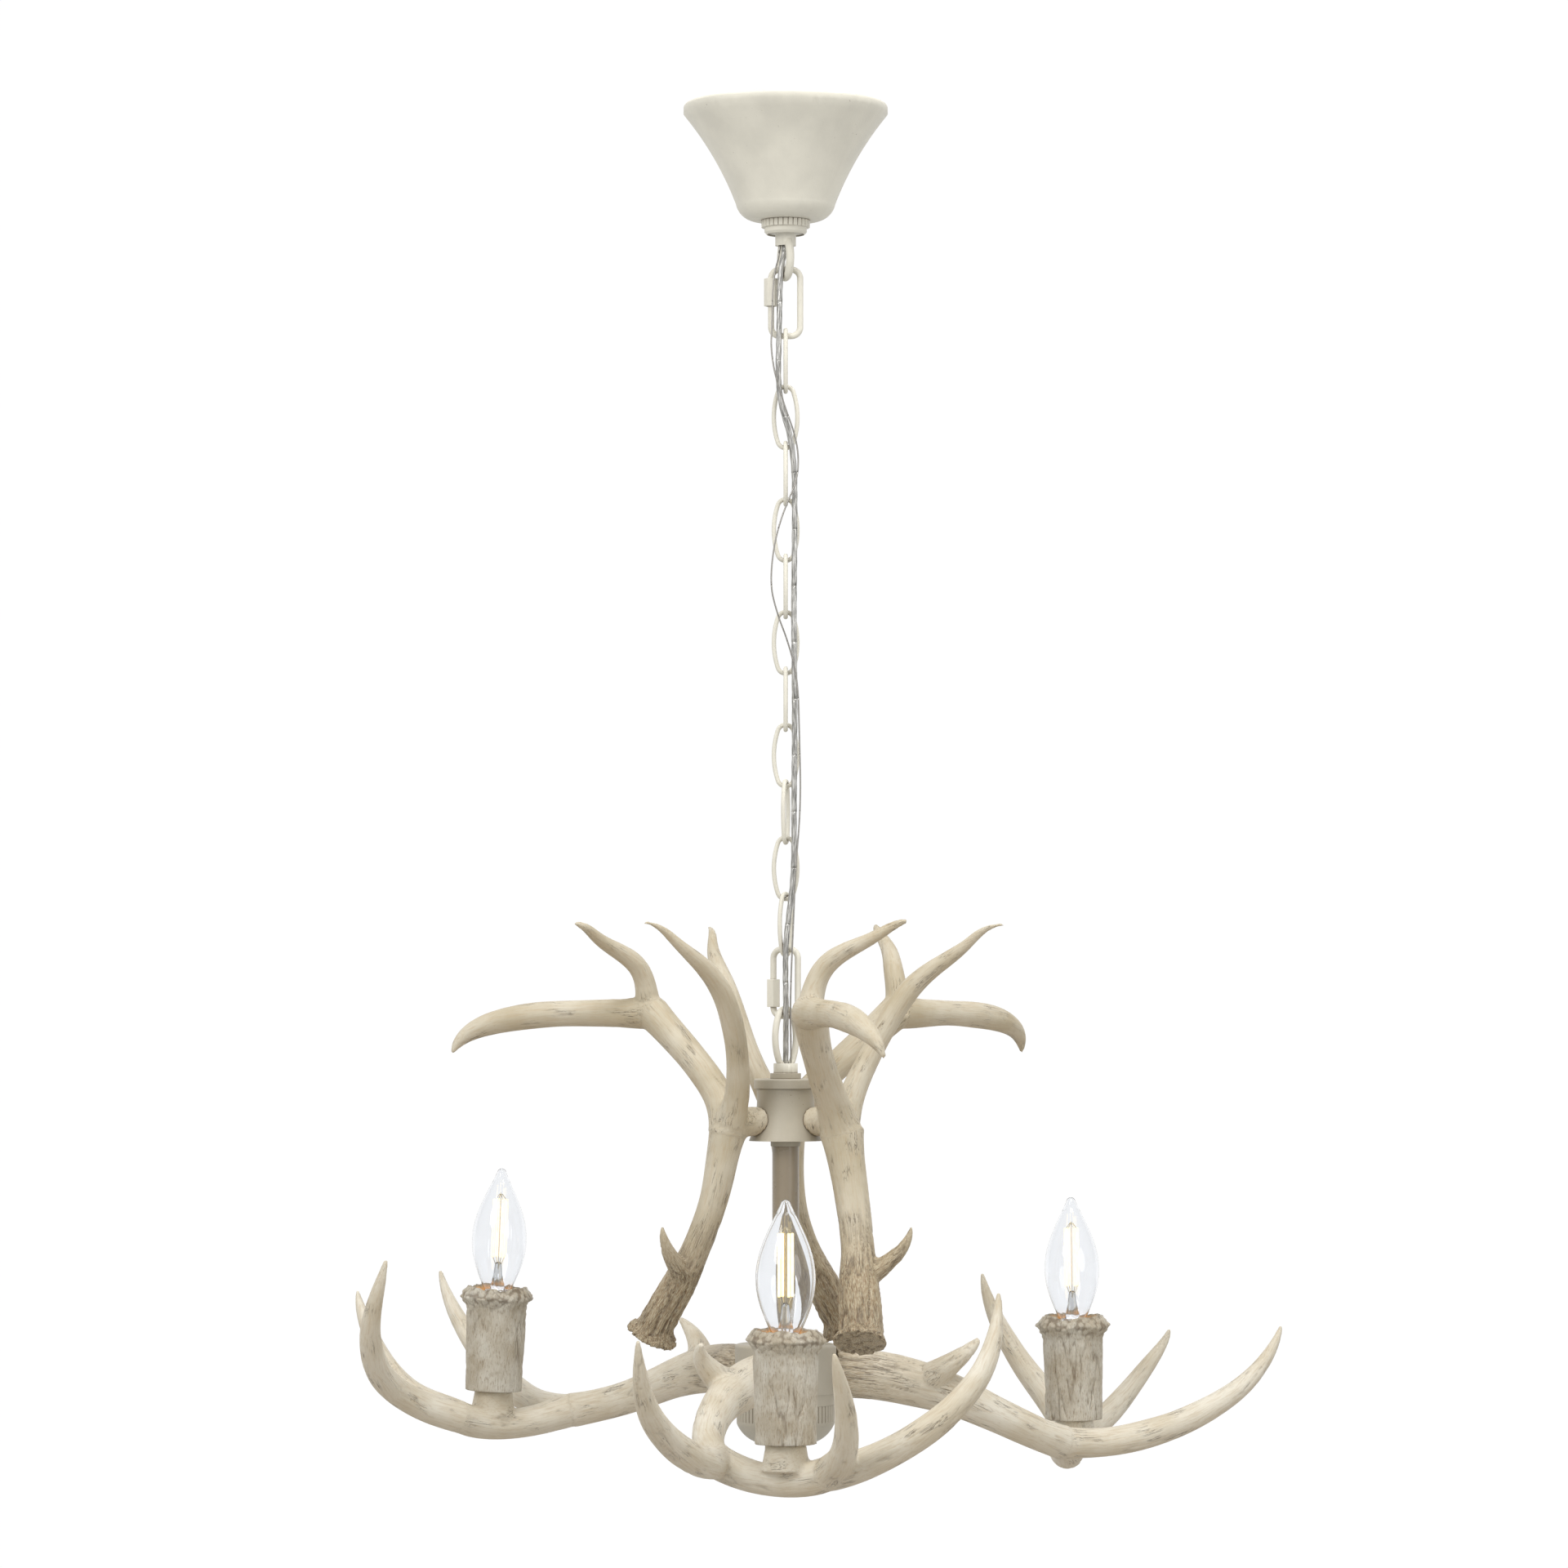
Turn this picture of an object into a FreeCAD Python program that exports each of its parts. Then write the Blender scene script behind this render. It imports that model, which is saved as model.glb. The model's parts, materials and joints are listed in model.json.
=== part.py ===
import FreeCAD, Part
import math
import os

import Sketcher

# Antler chandelier: a three-lamp cast-antler body that hangs on a quick link, eleven chain
# links and a second quick link from a ceiling loop. Millimetres, +Z up. The origin is the
# centre of the ceiling plane, the front of the fitting faces -Y.

V = FreeCAD.Vector
UP = V(0, 0, 1)

# ---------------------------------------------------------------------------------------
# Driving dimensions. Each one is a cell of the spreadsheet "Sizes", read by its alias.
# ---------------------------------------------------------------------------------------
SIZES = {
    # ceiling bar
    "bar_length": 100.0,
    "bar_width": 20.0,
    "bar_gauge": 2.5,
    "bar_drop": 22.0,
    "bar_middle": 44.0,
    "bar_foot": 24.0,
    "slot_spacing": 78.0,
    "slot_width": 5.0,
    "slot_reach": 12.0,
    "nipple_diameter": 10.0,
    "nipple_bore": 7.4,
    "nipple_rise": 6.0,
    "nipple_grip": 10.0,
    "nut_flats": 14.0,
    "nut_height": 4.0,
    "ground_screw_place": -14.0,
    "ground_screw_shank": 3.6,
    "ground_screw_length": 6.0,
    "ground_screw_head": 7.0,
    "ground_head_height": 2.4,
    "connector_diameter": 9.0,
    "connector_length": 18.0,
    # canopy and its lock ring
    "canopy_height": 70.6,
    "canopy_rim": 62.5,
    "canopy_mouth": 60.3,
    "canopy_lip": 5.5,
    "canopy_waist": 30.5,
    "canopy_waist_rise": 10.1,
    "canopy_floor": 20.0,
    "canopy_flare": 200.0,
    "canopy_shoulder": 12.5,
    "canopy_wall": 1.2,
    "ring_knurl_radius": 14.85,
    "ring_knurl_height": 4.5,
    "ring_flange_radius": 13.0,
    "ring_flange_height": 4.3,
    "ring_bore": 11.2,
    "knurl_count": 30.0,
    "knurl_width": 1.3,
    "knurl_depth": 0.7,
    "canopy_travel_gap": 0.3,
    # ceiling loop
    "barrel_radius": 10.9,
    "barrel_height": 17.0,
    "barrel_sink": 0.6,
    "neck_radius": 6.35,
    "neck_height": 7.4,
    "loop_wire": 5.0,
    "loop_half_width": 8.2,
    "loop_half_height": 11.6,
    "loop_end_radius": 7.0,
    "loop_sink": 4.0,
    "loop_turn": -70.0,
    # quick links
    "quick_wire": 3.8,
    "quick_half_width": 8.9,
    "quick_half_height": 20.35,
    "quick_corner": 5.5,
    "quick_gap": 6.0,
    "quick_gap_place": 7.0,
    "quick_turn": -33.0,
    "sleeve_length": 17.0,
    "sleeve_flats": 7.6,
    "sleeve_bore": 4.4,
    # chain
    "chain_links": 11.0,
    "chain_wire": 2.75,
    "chain_half_width": 7.2,
    "chain_half_height": 18.775,
    "chain_end_radius": 5.0,
    "run_clearance": 0.3,
    # hub loop
    "hub_loop_wire": 4.0,
    "hub_loop_half_width": 8.8,
    "hub_loop_half_height": 17.4,
    "hub_loop_end_radius": 6.6,
    "hub_loop_turn": 44.0,
    "block_radius": 7.4,
    "block_height": 6.0,
    "block_cover": 1.6,
    # centre column
    "lid_radius": 19.4,
    "lid_height": 6.0,
    "lid_plate": 2.5,
    "drum_top": 18.2,
    "drum_bottom": 22.5,
    "drum_height": 35.5,
    "drum_flare": 70.0,
    "drum_wall": 1.6,
    "drum_floor": 2.0,
    "washer_radius": 9.4,
    "washer_height": 3.4,
    "collar_radius": 9.2,
    "collar_height": 3.3,
    "stem_radius": 8.2,
    "stem_wall": 1.2,
    "stem_length": 121.0,
    "tie_diameter": 10.0,
    "tie_bore": 7.4,
    "tie_clearance": 0.2,
    "hickey_radius": 8.5,
    "hickey_height": 32.0,
    "hickey_grip": 6.0,
    "hickey_leg_gap": 12.0,
    # lower hub
    "hub_radius": 31.0,
    "hub_height": 30.0,
    "hub_band_radius": 30.2,
    "hub_band_height": 7.0,
    "hub_wall": 1.8,
    "hub_plate": 2.5,
    "reed_radius": 30.0,
    "reed_height": 11.5,
    "reed_count": 60.0,
    "reed_width": 1.5,
    "reed_depth": 0.9,
    "bowl_radius": 14.0,
    "bowl_height": 12.5,
    "bowl_curve": 20.0,
    "cup_wall": 1.8,
    "finial_radius": 8.0,
    "finial_height": 8.0,
    "finial_round": 5.0,
    "finial_hole_depth": 5.5,
    # antler seats and screws
    "upper_seat_drop": 23.5,
    "lower_seat_drop": 17.5,
    "seat_clearance": 0.25,
    "upper_screw_shank": 4.5,
    "upper_screw_length": 17.0,
    "upper_screw_head": 8.0,
    "arm_bolt_shank": 9.6,
    "arm_bolt_bore": 6.0,
    "arm_bolt_length": 22.0,
    "arm_bolt_head": 14.0,
    "screw_head_height": 3.0,
    "screw_clearance": 0.1,
    "arm_seat_turn": -12.4,
    "left_arm_lift": 2.6,
    "front_arm_lift": 0.0,
    "right_arm_lift": -3.2,
    "left_lamp_lean": 2.6,
    "front_lamp_lean": 0.0,
    "right_lamp_lean": 1.0,
    # lamps
    "lamp_reach": 181.0,
    "lamp_drop": 26.5,
    "boss_top": 11.8,
    "boss_foot": 14.4,
    "boss_height": 16.0,
    "pipe_diameter": 9.6,
    "pipe_bore": 6.0,
    "pipe_sink": 9.0,
    "pipe_rise": 12.0,
    "sleeve_foot": 17.8,
    "sleeve_body": 19.0,
    "sleeve_body_height": 50.0,
    "crown_radius": 24.2,
    "crown_height": 59.0,
    "crown_top_radius": 19.6,
    "crown_band": 2.0,
    "crown_taper": 0.6,
    "rim_edge": 1.0,
    "rim_bevel": 2.0,
    "mouth_flare": 1.5,
    "mouth_depth": 4.0,
    "cup_height": 66.0,
    "cup_bore": 14.4,
    "cup_floor": 3.0,
    "holder_radius": 11.0,
    "holder_height": 58.0,
    "holder_seat": 0.3,
    "holder_bore": 7.5,
    "holder_bore_depth": 26.0,
    "shell_radius": 7.2,
    "shell_wall": 0.5,
    "shell_height": 22.0,
    "bulb_gap": 0.4,
    "base_radius": 6.0,
    "base_height": 17.0,
    "base_tip_radius": 3.2,
    "base_tip_height": 3.5,
    "glass_neck": 7.6,
    "glass_radius": 17.4,
    "glass_height": 79.0,
    "glass_belly_height": 33.0,
    "glass_tip": 2.6,
    "glass_lower_curve": 60.5,
    "glass_upper_curve": 73.7,
    "glass_wall": 0.8,
    "glass_seat": 2.0,
    "filament_radius": 0.9,
    "filament_length": 38.0,
    "filament_ring": 4.2,
    "filament_plate": 1.0,
    "glass_stem_radius": 5.0,
    "glass_stem_height": 20.0,
    # cords
    "cable_diameter": 3.6,
    "ground_diameter": 1.0,
    "lead_diameter": 3.0,
}

SCREWED_LENGTH = 5.0
FIT = 0.3


class Size:
    """A length that carries its present value and the expression that gives it."""

    def __init__(self, value, text):
        self.value = value
        self.text = text

    def __add__(self, other):
        other = as_size(other)
        return Size(self.value + other.value, f"({self.text} + {other.text})")

    def __sub__(self, other):
        other = as_size(other)
        return Size(self.value - other.value, f"({self.text} - {other.text})")

    def __mul__(self, factor):
        return Size(self.value * factor, f"({self.text} * {factor})")

    def __truediv__(self, factor):
        return Size(self.value / factor, f"({self.text} / {factor})")

    def __neg__(self):
        return Size(-self.value, f"(0 - {self.text})")


def as_size(number):
    if isinstance(number, Size):
        return number
    return Size(float(number), f"{float(number)}")


def new_sheet(doc):
    """Writes every driving dimension to its own row, with the name in A and the value in B."""
    table = doc.addObject("Spreadsheet::Sheet", "Sizes")
    for row, (name, value) in enumerate(SIZES.items(), start=1):
        table.set(f"A{row}", name)
        table.set(f"B{row}", str(value))
        table.setAlias(f"B{row}", name)
    doc.recompute()
    return table


os.makedirs("parts", exist_ok=True)
doc = FreeCAD.newDocument("AntlerChandelier")
sheet = new_sheet(doc)


def size(name):
    return Size(float(sheet.get(name)), f"Sizes.{name}")


def val(name):
    return size(name).value


pieces = []


# ---------------------------------------------------------------------------------------
# Sketch helpers
# ---------------------------------------------------------------------------------------
def new_body(label):
    body = doc.addObject("PartDesign::Body", label)
    body.Label = label
    return body


def new_sketch(body, name, role):
    """A sketch on one of the body's own origin planes."""
    sketch = body.newObject("Sketcher::SketchObject", name)
    plane = [item for item in body.Origin.OriginFeatures if item.Role == role][0]
    sketch.AttachmentSupport = [(plane, "")]
    sketch.MapMode = "FlatFace"
    return sketch


def drive(sketch, constraint, amount):
    """Adds a dimension and binds it to the sheet."""
    index = sketch.addConstraint(constraint)
    sketch.setExpression(f"Constraints[{index}]", amount.text)


def pin_point(sketch, edge, end, across, up):
    across = as_size(across)
    up = as_size(up)
    drive(sketch, Sketcher.Constraint("DistanceX", -1, 1, edge, end, across.value), across)
    drive(sketch, Sketcher.Constraint("DistanceY", -1, 1, edge, end, up.value), up)


def arc_through(start, end, radius, side):
    """The short arc from start to end; its centre is left of the way for side 1, else right."""
    chord = end - start
    height = math.sqrt(max(radius * radius - chord.Length ** 2 / 4, 0.0))
    left = V(-chord.y, chord.x, 0).normalize()
    centre = (start + end) * 0.5 + left * height * side
    first, last = (start, end) if side > 0 else (end, start)
    circle = Part.Circle(centre, UP, radius)
    turn_on = math.atan2(first.y - centre.y, first.x - centre.x)
    turn_off = math.atan2(last.y - centre.y, last.x - centre.x)
    return Part.ArcOfCircle(circle, turn_on, turn_off)


def draw_outline(sketch, corners):
    """A closed outline. A corner is (across, up), or (across, up, radius, side) before an arc.

    (across, up, side) starts a half circle that ends straight above or below.
    """
    count = len(corners)
    ends = []
    first_edge = sketch.GeometryCount
    for index, corner in enumerate(corners):
        after = corners[(index + 1) % count]
        start = V(as_size(corner[0]).value, as_size(corner[1]).value, 0)
        end = V(as_size(after[0]).value, as_size(after[1]).value, 0)
        if len(corner) == 4:
            edge = sketch.addGeometry(arc_through(start, end, corner[2].value, corner[3]), False)
            drive(sketch, Sketcher.Constraint("Radius", edge, corner[2].value), corner[2])
            ends.append((1, 2) if corner[3] > 0 else (2, 1))
        elif len(corner) == 3:
            radius = (end - start).Length / 2
            edge = sketch.addGeometry(arc_through(start, end, radius, corner[2]), False)
            drive(sketch, Sketcher.Constraint("DistanceX", -1, 1, edge, 3, corner[0].value),
                  corner[0])
            ends.append((1, 2) if corner[2] > 0 else (2, 1))
        else:
            sketch.addGeometry(Part.LineSegment(start, end), False)
            ends.append((1, 2))
    for index, corner in enumerate(corners):
        after = (index + 1) % count
        sketch.addConstraint(Sketcher.Constraint(
            "Coincident", first_edge + index, ends[index][1], first_edge + after, ends[after][0]))
        pin_point(sketch, first_edge + index, ends[index][0], corner[0], corner[1])


def draw_circle(sketch, across, up, radius):
    across = as_size(across)
    up = as_size(up)
    circle = Part.Circle(V(across.value, up.value, 0), UP, radius.value)
    edge = sketch.addGeometry(circle, False)
    drive(sketch, Sketcher.Constraint("Radius", edge, radius.value), radius)
    pin_point(sketch, edge, 3, across, up)


def hexagon(flats):
    """Corners of a hexagon with a flat to +Y, from its width across flats."""
    half = flats / 2
    point = flats * (1 / math.sqrt(3))
    side = point / 2
    return [(point, 0), (side, half), (-side, half), (-point, 0), (-side, -half), (side, -half)]


def turn(body, corners):
    """A full turn of an outline in the XZ plane about the body's Z axis."""
    sketch = new_sketch(body, f"{body.Label}_profile", "XZ_Plane")
    draw_outline(sketch, corners)
    feature = body.newObject("PartDesign::Revolution", f"{body.Label}_turned")
    feature.Profile = sketch
    feature.ReferenceAxis = (sketch, ["V_Axis"])
    feature.Angle = 360.0
    return feature


def turned(label, corners):
    body = new_body(label)
    turn(body, corners)
    return body


def tube_corners(outer, inner, top, bottom):
    return [(inner, top), (outer, top), (outer, bottom), (inner, bottom)]


def bore(body, name, radius, depth):
    """A round hole down the Z axis from the body's origin plane, both ways."""
    sketch = new_sketch(body, name, "XY_Plane")
    draw_circle(sketch, 0, 0, radius)
    cut_through(body, sketch, depth)


def cut_through(body, sketch, depth):
    """Cuts a sketch out of the body, equally to both sides of its plane."""
    doc.recompute()
    before = body.Shape.Volume
    pocket = body.newObject("PartDesign::Pocket", f"{sketch.Label}_cut")
    pocket.Profile = sketch
    pocket.Midplane = True
    pocket.setExpression("Length", as_size(depth).text)
    doc.recompute()
    if body.Shape.Volume >= before:
        raise RuntimeError(f"{sketch.Label} cuts nothing from {body.Label}")
    return pocket


def repeat_round(body, feature, count):
    """Repeats a feature evenly about the body's Z axis."""
    pattern = body.newObject("PartDesign::PolarPattern", f"{feature.Label}_round")
    axis = [item for item in body.Origin.OriginFeatures if item.Role == "Z_Axis"][0]
    pattern.Originals = [feature]
    pattern.Axis = (axis, [""])
    pattern.Angle = 360.0
    pattern.setExpression("Occurrences", as_size(count).text)
    body.Tip = pattern
    return pattern


def oval_path(sketch, half_width, half_height, end_radius):
    """An upright oval of eight tangent arcs that starts on the +X side."""
    wide, tall, tight = half_width.value, half_height.value, end_radius.value
    rise = tall - tight
    side_radius = (wide ** 2 + rise ** 2 - tight ** 2) / (2 * (wide - tight))
    lean = math.atan2(rise, side_radius - wide)
    quarters = []
    for quarter, (sx, sy) in enumerate([(1, 1), (-1, 1), (-1, -1), (1, -1)]):
        side_circle = Part.Circle(V(-sx * (side_radius - wide), 0, 0), UP, side_radius)
        end_circle = Part.Circle(V(0, sy * rise, 0), UP, tight)
        level = 0.0 if sx > 0 else math.pi
        upright = math.pi / 2 * sy
        tangent = math.atan2(sy * math.sin(lean), sx * math.cos(lean))
        side_arc = ordered_arc(side_circle, level, tangent, sx * sy > 0)
        end_arc = ordered_arc(end_circle, tangent, upright, sx * sy > 0)
        quarters.append([side_arc, end_arc] if sx * sy > 0 else [end_arc, side_arc])
    edges = [sketch.addGeometry(arc, False) for pair in quarters for arc in pair]
    for index, edge in enumerate(edges):
        after = edges[(index + 1) % len(edges)]
        inside_quarter = index % 2 == 0
        kind = "Tangent" if inside_quarter else "Coincident"
        sketch.addConstraint(Sketcher.Constraint(kind, edge, 2, after, 1))
    for index in (0, 3, 4, 7):
        sketch.addConstraint(Sketcher.Constraint("PointOnObject", edges[index], 3, -1))
    for index in (1, 2, 5, 6):
        sketch.addConstraint(Sketcher.Constraint("PointOnObject", edges[index], 3, -2))
        drive(sketch, Sketcher.Constraint("Radius", edges[index], tight), end_radius)
    pin_point(sketch, edges[0], 1, half_width, 0)
    pin_point(sketch, edges[2], 1, 0, half_height)
    pin_point(sketch, edges[4], 1, -half_width, 0)
    pin_point(sketch, edges[6], 1, 0, -half_height)


def ordered_arc(circle, first, last, forwards):
    """An arc of the short way between two angles, kept anticlockwise."""
    if forwards:
        return Part.ArcOfCircle(circle, first, last)
    return Part.ArcOfCircle(circle, last, first)


def sweep_wire(body, path, across, wire):
    """Sweeps round wire along a closed path that crosses the XY plane at (across, 0)."""
    section = new_sketch(body, f"{body.Label}_section", "XY_Plane")
    draw_circle(section, across, 0, wire / 2)
    pipe = body.newObject("PartDesign::AdditivePipe", f"{body.Label}_wire")
    pipe.Profile = section
    pipe.Spine = (path, [])
    return pipe


def place(thing, height, turn_by=0.0, across=0.0, along=0.0):
    """Stands a piece at a height that follows the sheet, turned about the upright."""
    height = as_size(height)
    point = V(across, along, height.value)
    thing.Placement = FreeCAD.Placement(point, FreeCAD.Rotation(UP, turn_by))
    thing.setExpression("Placement.Base.z", height.text)


def keep(thing, label=None):
    """Marks a finished piece for its own file."""
    if label:
        thing.Label = label
    pieces.append(thing)
    return thing


def group(label, members):
    """Separate like pieces that share one node."""
    bundle = doc.addObject("Part::Compound", label)
    bundle.Links = members
    return keep(bundle, label)


def solid_piece(label, shape):
    thing = doc.addObject("Part::Feature", label)
    thing.Shape = shape
    return keep(thing, label)


# ---------------------------------------------------------------------------------------
# Heights of the column, from the ceiling down
# ---------------------------------------------------------------------------------------
CANOPY_FLOOR = -size("canopy_height")
BARREL_BOTTOM = (CANOPY_FLOOR - size("ring_knurl_height") - size("ring_flange_height")
                 + size("barrel_sink"))
BARREL_TOP = BARREL_BOTTOM + size("barrel_height")
NECK_BOTTOM = BARREL_BOTTOM - size("neck_height")
LOOP_CENTRE = NECK_BOTTOM + size("loop_sink") - size("loop_half_height")
LOOP_BOTTOM = LOOP_CENTRE - size("loop_half_height")
NIPPLE_BOTTOM = BARREL_TOP - size("nipple_grip")
NIPPLE_TOP = -size("bar_drop") + size("nipple_rise")


def next_below(contact, upper_wire, lower_wire):
    """Height of the wire centre of the member that hangs on a wire whose centre is given."""
    return contact + upper_wire / 2 + lower_wire / 2 + size("run_clearance")


QUICK_TOP = next_below(LOOP_BOTTOM, size("loop_wire"), size("quick_wire"))
QUICK_CENTRE = QUICK_TOP - size("quick_half_height")
QUICK_BOTTOM = QUICK_CENTRE - size("quick_half_height")
LINK_COUNT = int(val("chain_links"))
link_centres = []
contact = QUICK_BOTTOM
upper_wire = size("quick_wire")
for number in range(LINK_COUNT):
    link_top = next_below(contact, upper_wire, size("chain_wire"))
    link_centres.append(link_top - size("chain_half_height"))
    contact = link_centres[-1] - size("chain_half_height")
    upper_wire = size("chain_wire")
LOW_QUICK_TOP = next_below(contact, upper_wire, size("quick_wire"))
LOW_QUICK_CENTRE = LOW_QUICK_TOP - size("quick_half_height")
LOW_QUICK_BOTTOM = LOW_QUICK_CENTRE - size("quick_half_height")
HUB_LOOP_TOP = next_below(LOW_QUICK_BOTTOM, size("quick_wire"), size("hub_loop_wire"))
HUB_LOOP_CENTRE = HUB_LOOP_TOP - size("hub_loop_half_height")
BLOCK_TOP = HUB_LOOP_CENTRE - size("hub_loop_half_height") + size("block_cover")
BLOCK_BOTTOM = BLOCK_TOP - size("block_height")
LID_TOP = BLOCK_BOTTOM - size("washer_height")
DRUM_TOP = LID_TOP - size("lid_plate")
DRUM_BOTTOM = DRUM_TOP - size("drum_height")
UPPER_SEAT = DRUM_TOP - size("upper_seat_drop")
STEM_TOP = DRUM_BOTTOM - size("collar_height")
HUB_TOP = STEM_TOP - size("stem_length")
LOWER_SEAT = HUB_TOP - size("lower_seat_drop")
REED_TOP = HUB_TOP - size("hub_height") - size("hub_band_height")
BOWL_BOTTOM = REED_TOP - size("reed_height") - size("bowl_height")
HICKEY_TOP = HUB_TOP - size("hub_plate")

AZIMUTH = {"front": -90.0, "right": 30.0, "left": 150.0}
UPPER_AZIMUTH = {"left": 210.0, "right": 330.0, "back": 90.0}


# ---------------------------------------------------------------------------------------
# Ceiling bar, nipple and nuts
# ---------------------------------------------------------------------------------------
def mounting_bar():
    """A strap with two slotted feet on the ceiling and a dropped middle."""
    body = new_body("mounting_bar")
    half, gauge, drop = size("bar_length") / 2, size("bar_gauge"), size("bar_drop")
    foot = half - size("bar_foot")
    middle = size("bar_middle") / 2
    right = [(middle, -drop), (foot, 0), (half, 0), (half, -gauge), (foot + gauge, -gauge),
             (middle + gauge, -drop - gauge)]
    left = [(-across, up) for across, up in reversed(right)]
    sketch = new_sketch(body, "bar_profile", "XZ_Plane")
    draw_outline(sketch, right + left)
    strap = body.newObject("PartDesign::Pad", "bar_strap")
    strap.Profile = sketch
    strap.Midplane = True
    strap.setExpression("Length", "Sizes.bar_width")
    end = size("slot_width") / 2
    for side in (-1, 1):
        centre = size("slot_spacing") * (side / 2)
        inner = centre - size("slot_reach") / 2
        outer = centre + size("slot_reach") / 2
        slot = new_sketch(body, f"slot_{'left' if side < 0 else 'right'}", "XY_Plane")
        draw_outline(slot, [(inner, -end), (outer, -end, 1), (outer, end), (inner, end, 1)])
        cut_through(body, slot, size("bar_gauge") * 4)
    bore(body, "nipple_hole", size("nipple_diameter") / 2, size("bar_drop") * 4)
    hole = new_sketch(body, "ground_hole", "XY_Plane")
    draw_circle(hole, size("ground_screw_place"), 0,
                size("ground_screw_shank") / 2 + size("screw_clearance"))
    cut_through(body, hole, size("bar_drop") * 4)
    keep(body)


def ground_screw():
    shank, head = size("ground_screw_shank") / 2, size("ground_screw_head") / 2
    rise = size("ground_head_height")
    body = turned("ground_screw", [
        (0, rise), (head * 0.6, rise), (head, rise * 0.5), (head, 0), (shank, 0),
        (shank, -size("ground_screw_length")), (0, -size("ground_screw_length"))])
    place(body, -size("bar_drop"), across=val("ground_screw_place"))
    body.setExpression("Placement.Base.x", "Sizes.ground_screw_place")
    keep(body)


def threaded_nipple():
    top, bottom = NIPPLE_TOP, NIPPLE_BOTTOM
    body = turned("threaded_nipple", tube_corners(
        size("nipple_diameter") / 2, size("nipple_bore") / 2, top, bottom))
    keep(body)


def hex_nut(label, flats, height, bore_radius):
    body = new_body(label)
    sketch = new_sketch(body, f"{label}_hexagon", "XY_Plane")
    draw_outline(sketch, hexagon(flats))
    block = body.newObject("PartDesign::Pad", f"{label}_block")
    block.Profile = sketch
    block.setExpression("Length", height.text)
    bore(body, f"{label}_bore", bore_radius, height * 4)
    return body


def nipple_nuts():
    """One lock nut above the bar and one below."""
    nuts = []
    heights = {"nut_above": -size("bar_drop"),
               "nut_below": -size("bar_drop") - size("bar_gauge") - size("nut_height")}
    for label, height in heights.items():
        nut = hex_nut(label, size("nut_flats"), size("nut_height"), size("nipple_diameter") / 2)
        place(nut, height)
        nuts.append(nut)
    group("nipple_nuts", nuts)


# ---------------------------------------------------------------------------------------
# Canopy, lock ring and ceiling loop
# ---------------------------------------------------------------------------------------
def canopy():
    """A spun bell: flared rim at the ceiling, drawn-in waist, rounded floor with a hole."""
    wall = size("canopy_wall")
    rim, mouth, waist = size("canopy_rim"), size("canopy_mouth"), size("canopy_waist")
    waist_level = CANOPY_FLOOR + size("canopy_waist_rise")
    lip = -size("canopy_lip")
    hole = size("ring_bore") + size("canopy_travel_gap")
    flare, shoulder = size("canopy_flare"), size("canopy_shoulder")
    body = turned("canopy", [
        (mouth - wall, 0),
        (mouth, 0, rim - mouth, -1),
        (rim, mouth - rim),
        (rim, lip, flare, 1),
        (waist, waist_level, shoulder, -1),
        (size("canopy_floor"), CANOPY_FLOOR),
        (hole, CANOPY_FLOOR),
        (hole, CANOPY_FLOOR + wall),
        (size("canopy_floor"), CANOPY_FLOOR + wall, shoulder - wall, 1),
        (waist - wall, waist_level, flare, -1),
        (rim - wall, lip)])
    keep(body)


def canopy_ring():
    """The knurled ring that screws up the barrel and holds the canopy."""
    inside, knurl, flange = size("ring_bore"), size("ring_knurl_radius"), size("ring_flange_radius")
    step = size("ring_knurl_height")
    bottom = step + size("ring_flange_height")
    ease = size("ring_flange_height") * 0.35
    body = turned("canopy_ring", [
        (inside, 0), (knurl, 0), (knurl, -step), (flange, -step), (flange, ease - bottom),
        (flange - ease, -bottom), (inside, -bottom)])
    notch = new_sketch(body, "knurl_notch", "XY_Plane")
    half = size("knurl_width") / 2
    deep = knurl - size("knurl_depth")
    outside = knurl + size("knurl_depth")
    draw_outline(notch, [(deep, 0), (outside, -half), (outside, half)])
    pocket = cut_through(body, notch, step * 2)
    repeat_round(body, pocket, size("knurl_count"))
    place(body, CANOPY_FLOOR)
    keep(body)


def wire_loop(body, name, half_width, half_height, end_radius, wire):
    path = new_sketch(body, name, "XZ_Plane")
    oval_path(path, half_width, half_height, end_radius)
    return sweep_wire(body, path, half_width, wire)


def canopy_loop():
    """Threaded barrel, neck and wire loop in one casting, bored for the cable."""
    body = new_body("canopy_loop")
    wire_loop(body, "loop_path", size("loop_half_width"), size("loop_half_height"),
              size("loop_end_radius"), size("loop_wire"))
    barrel_top = BARREL_TOP - LOOP_CENTRE
    barrel_bottom = BARREL_BOTTOM - LOOP_CENTRE
    neck_bottom = NECK_BOTTOM - LOOP_CENTRE
    turn(body, [(0, barrel_top), (size("barrel_radius"), barrel_top),
                (size("barrel_radius"), barrel_bottom), (size("neck_radius"), barrel_bottom),
                (size("neck_radius"), neck_bottom), (0, neck_bottom)])
    cable_hole = new_sketch(body, "cable_hole", "XZ_Plane")
    thread, passage = size("nipple_diameter") / 2, size("nipple_bore") / 2
    thread_end = NIPPLE_BOTTOM - LOOP_CENTRE
    passage_end = neck_bottom - size("loop_sink")
    draw_outline(cable_hole, [
        (0, barrel_top), (thread, barrel_top), (thread, thread_end), (passage, thread_end),
        (passage, passage_end), (0, passage_end)])
    groove_out(body, cable_hole)
    place(body, LOOP_CENTRE, val("loop_turn"))
    keep(body)


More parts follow.
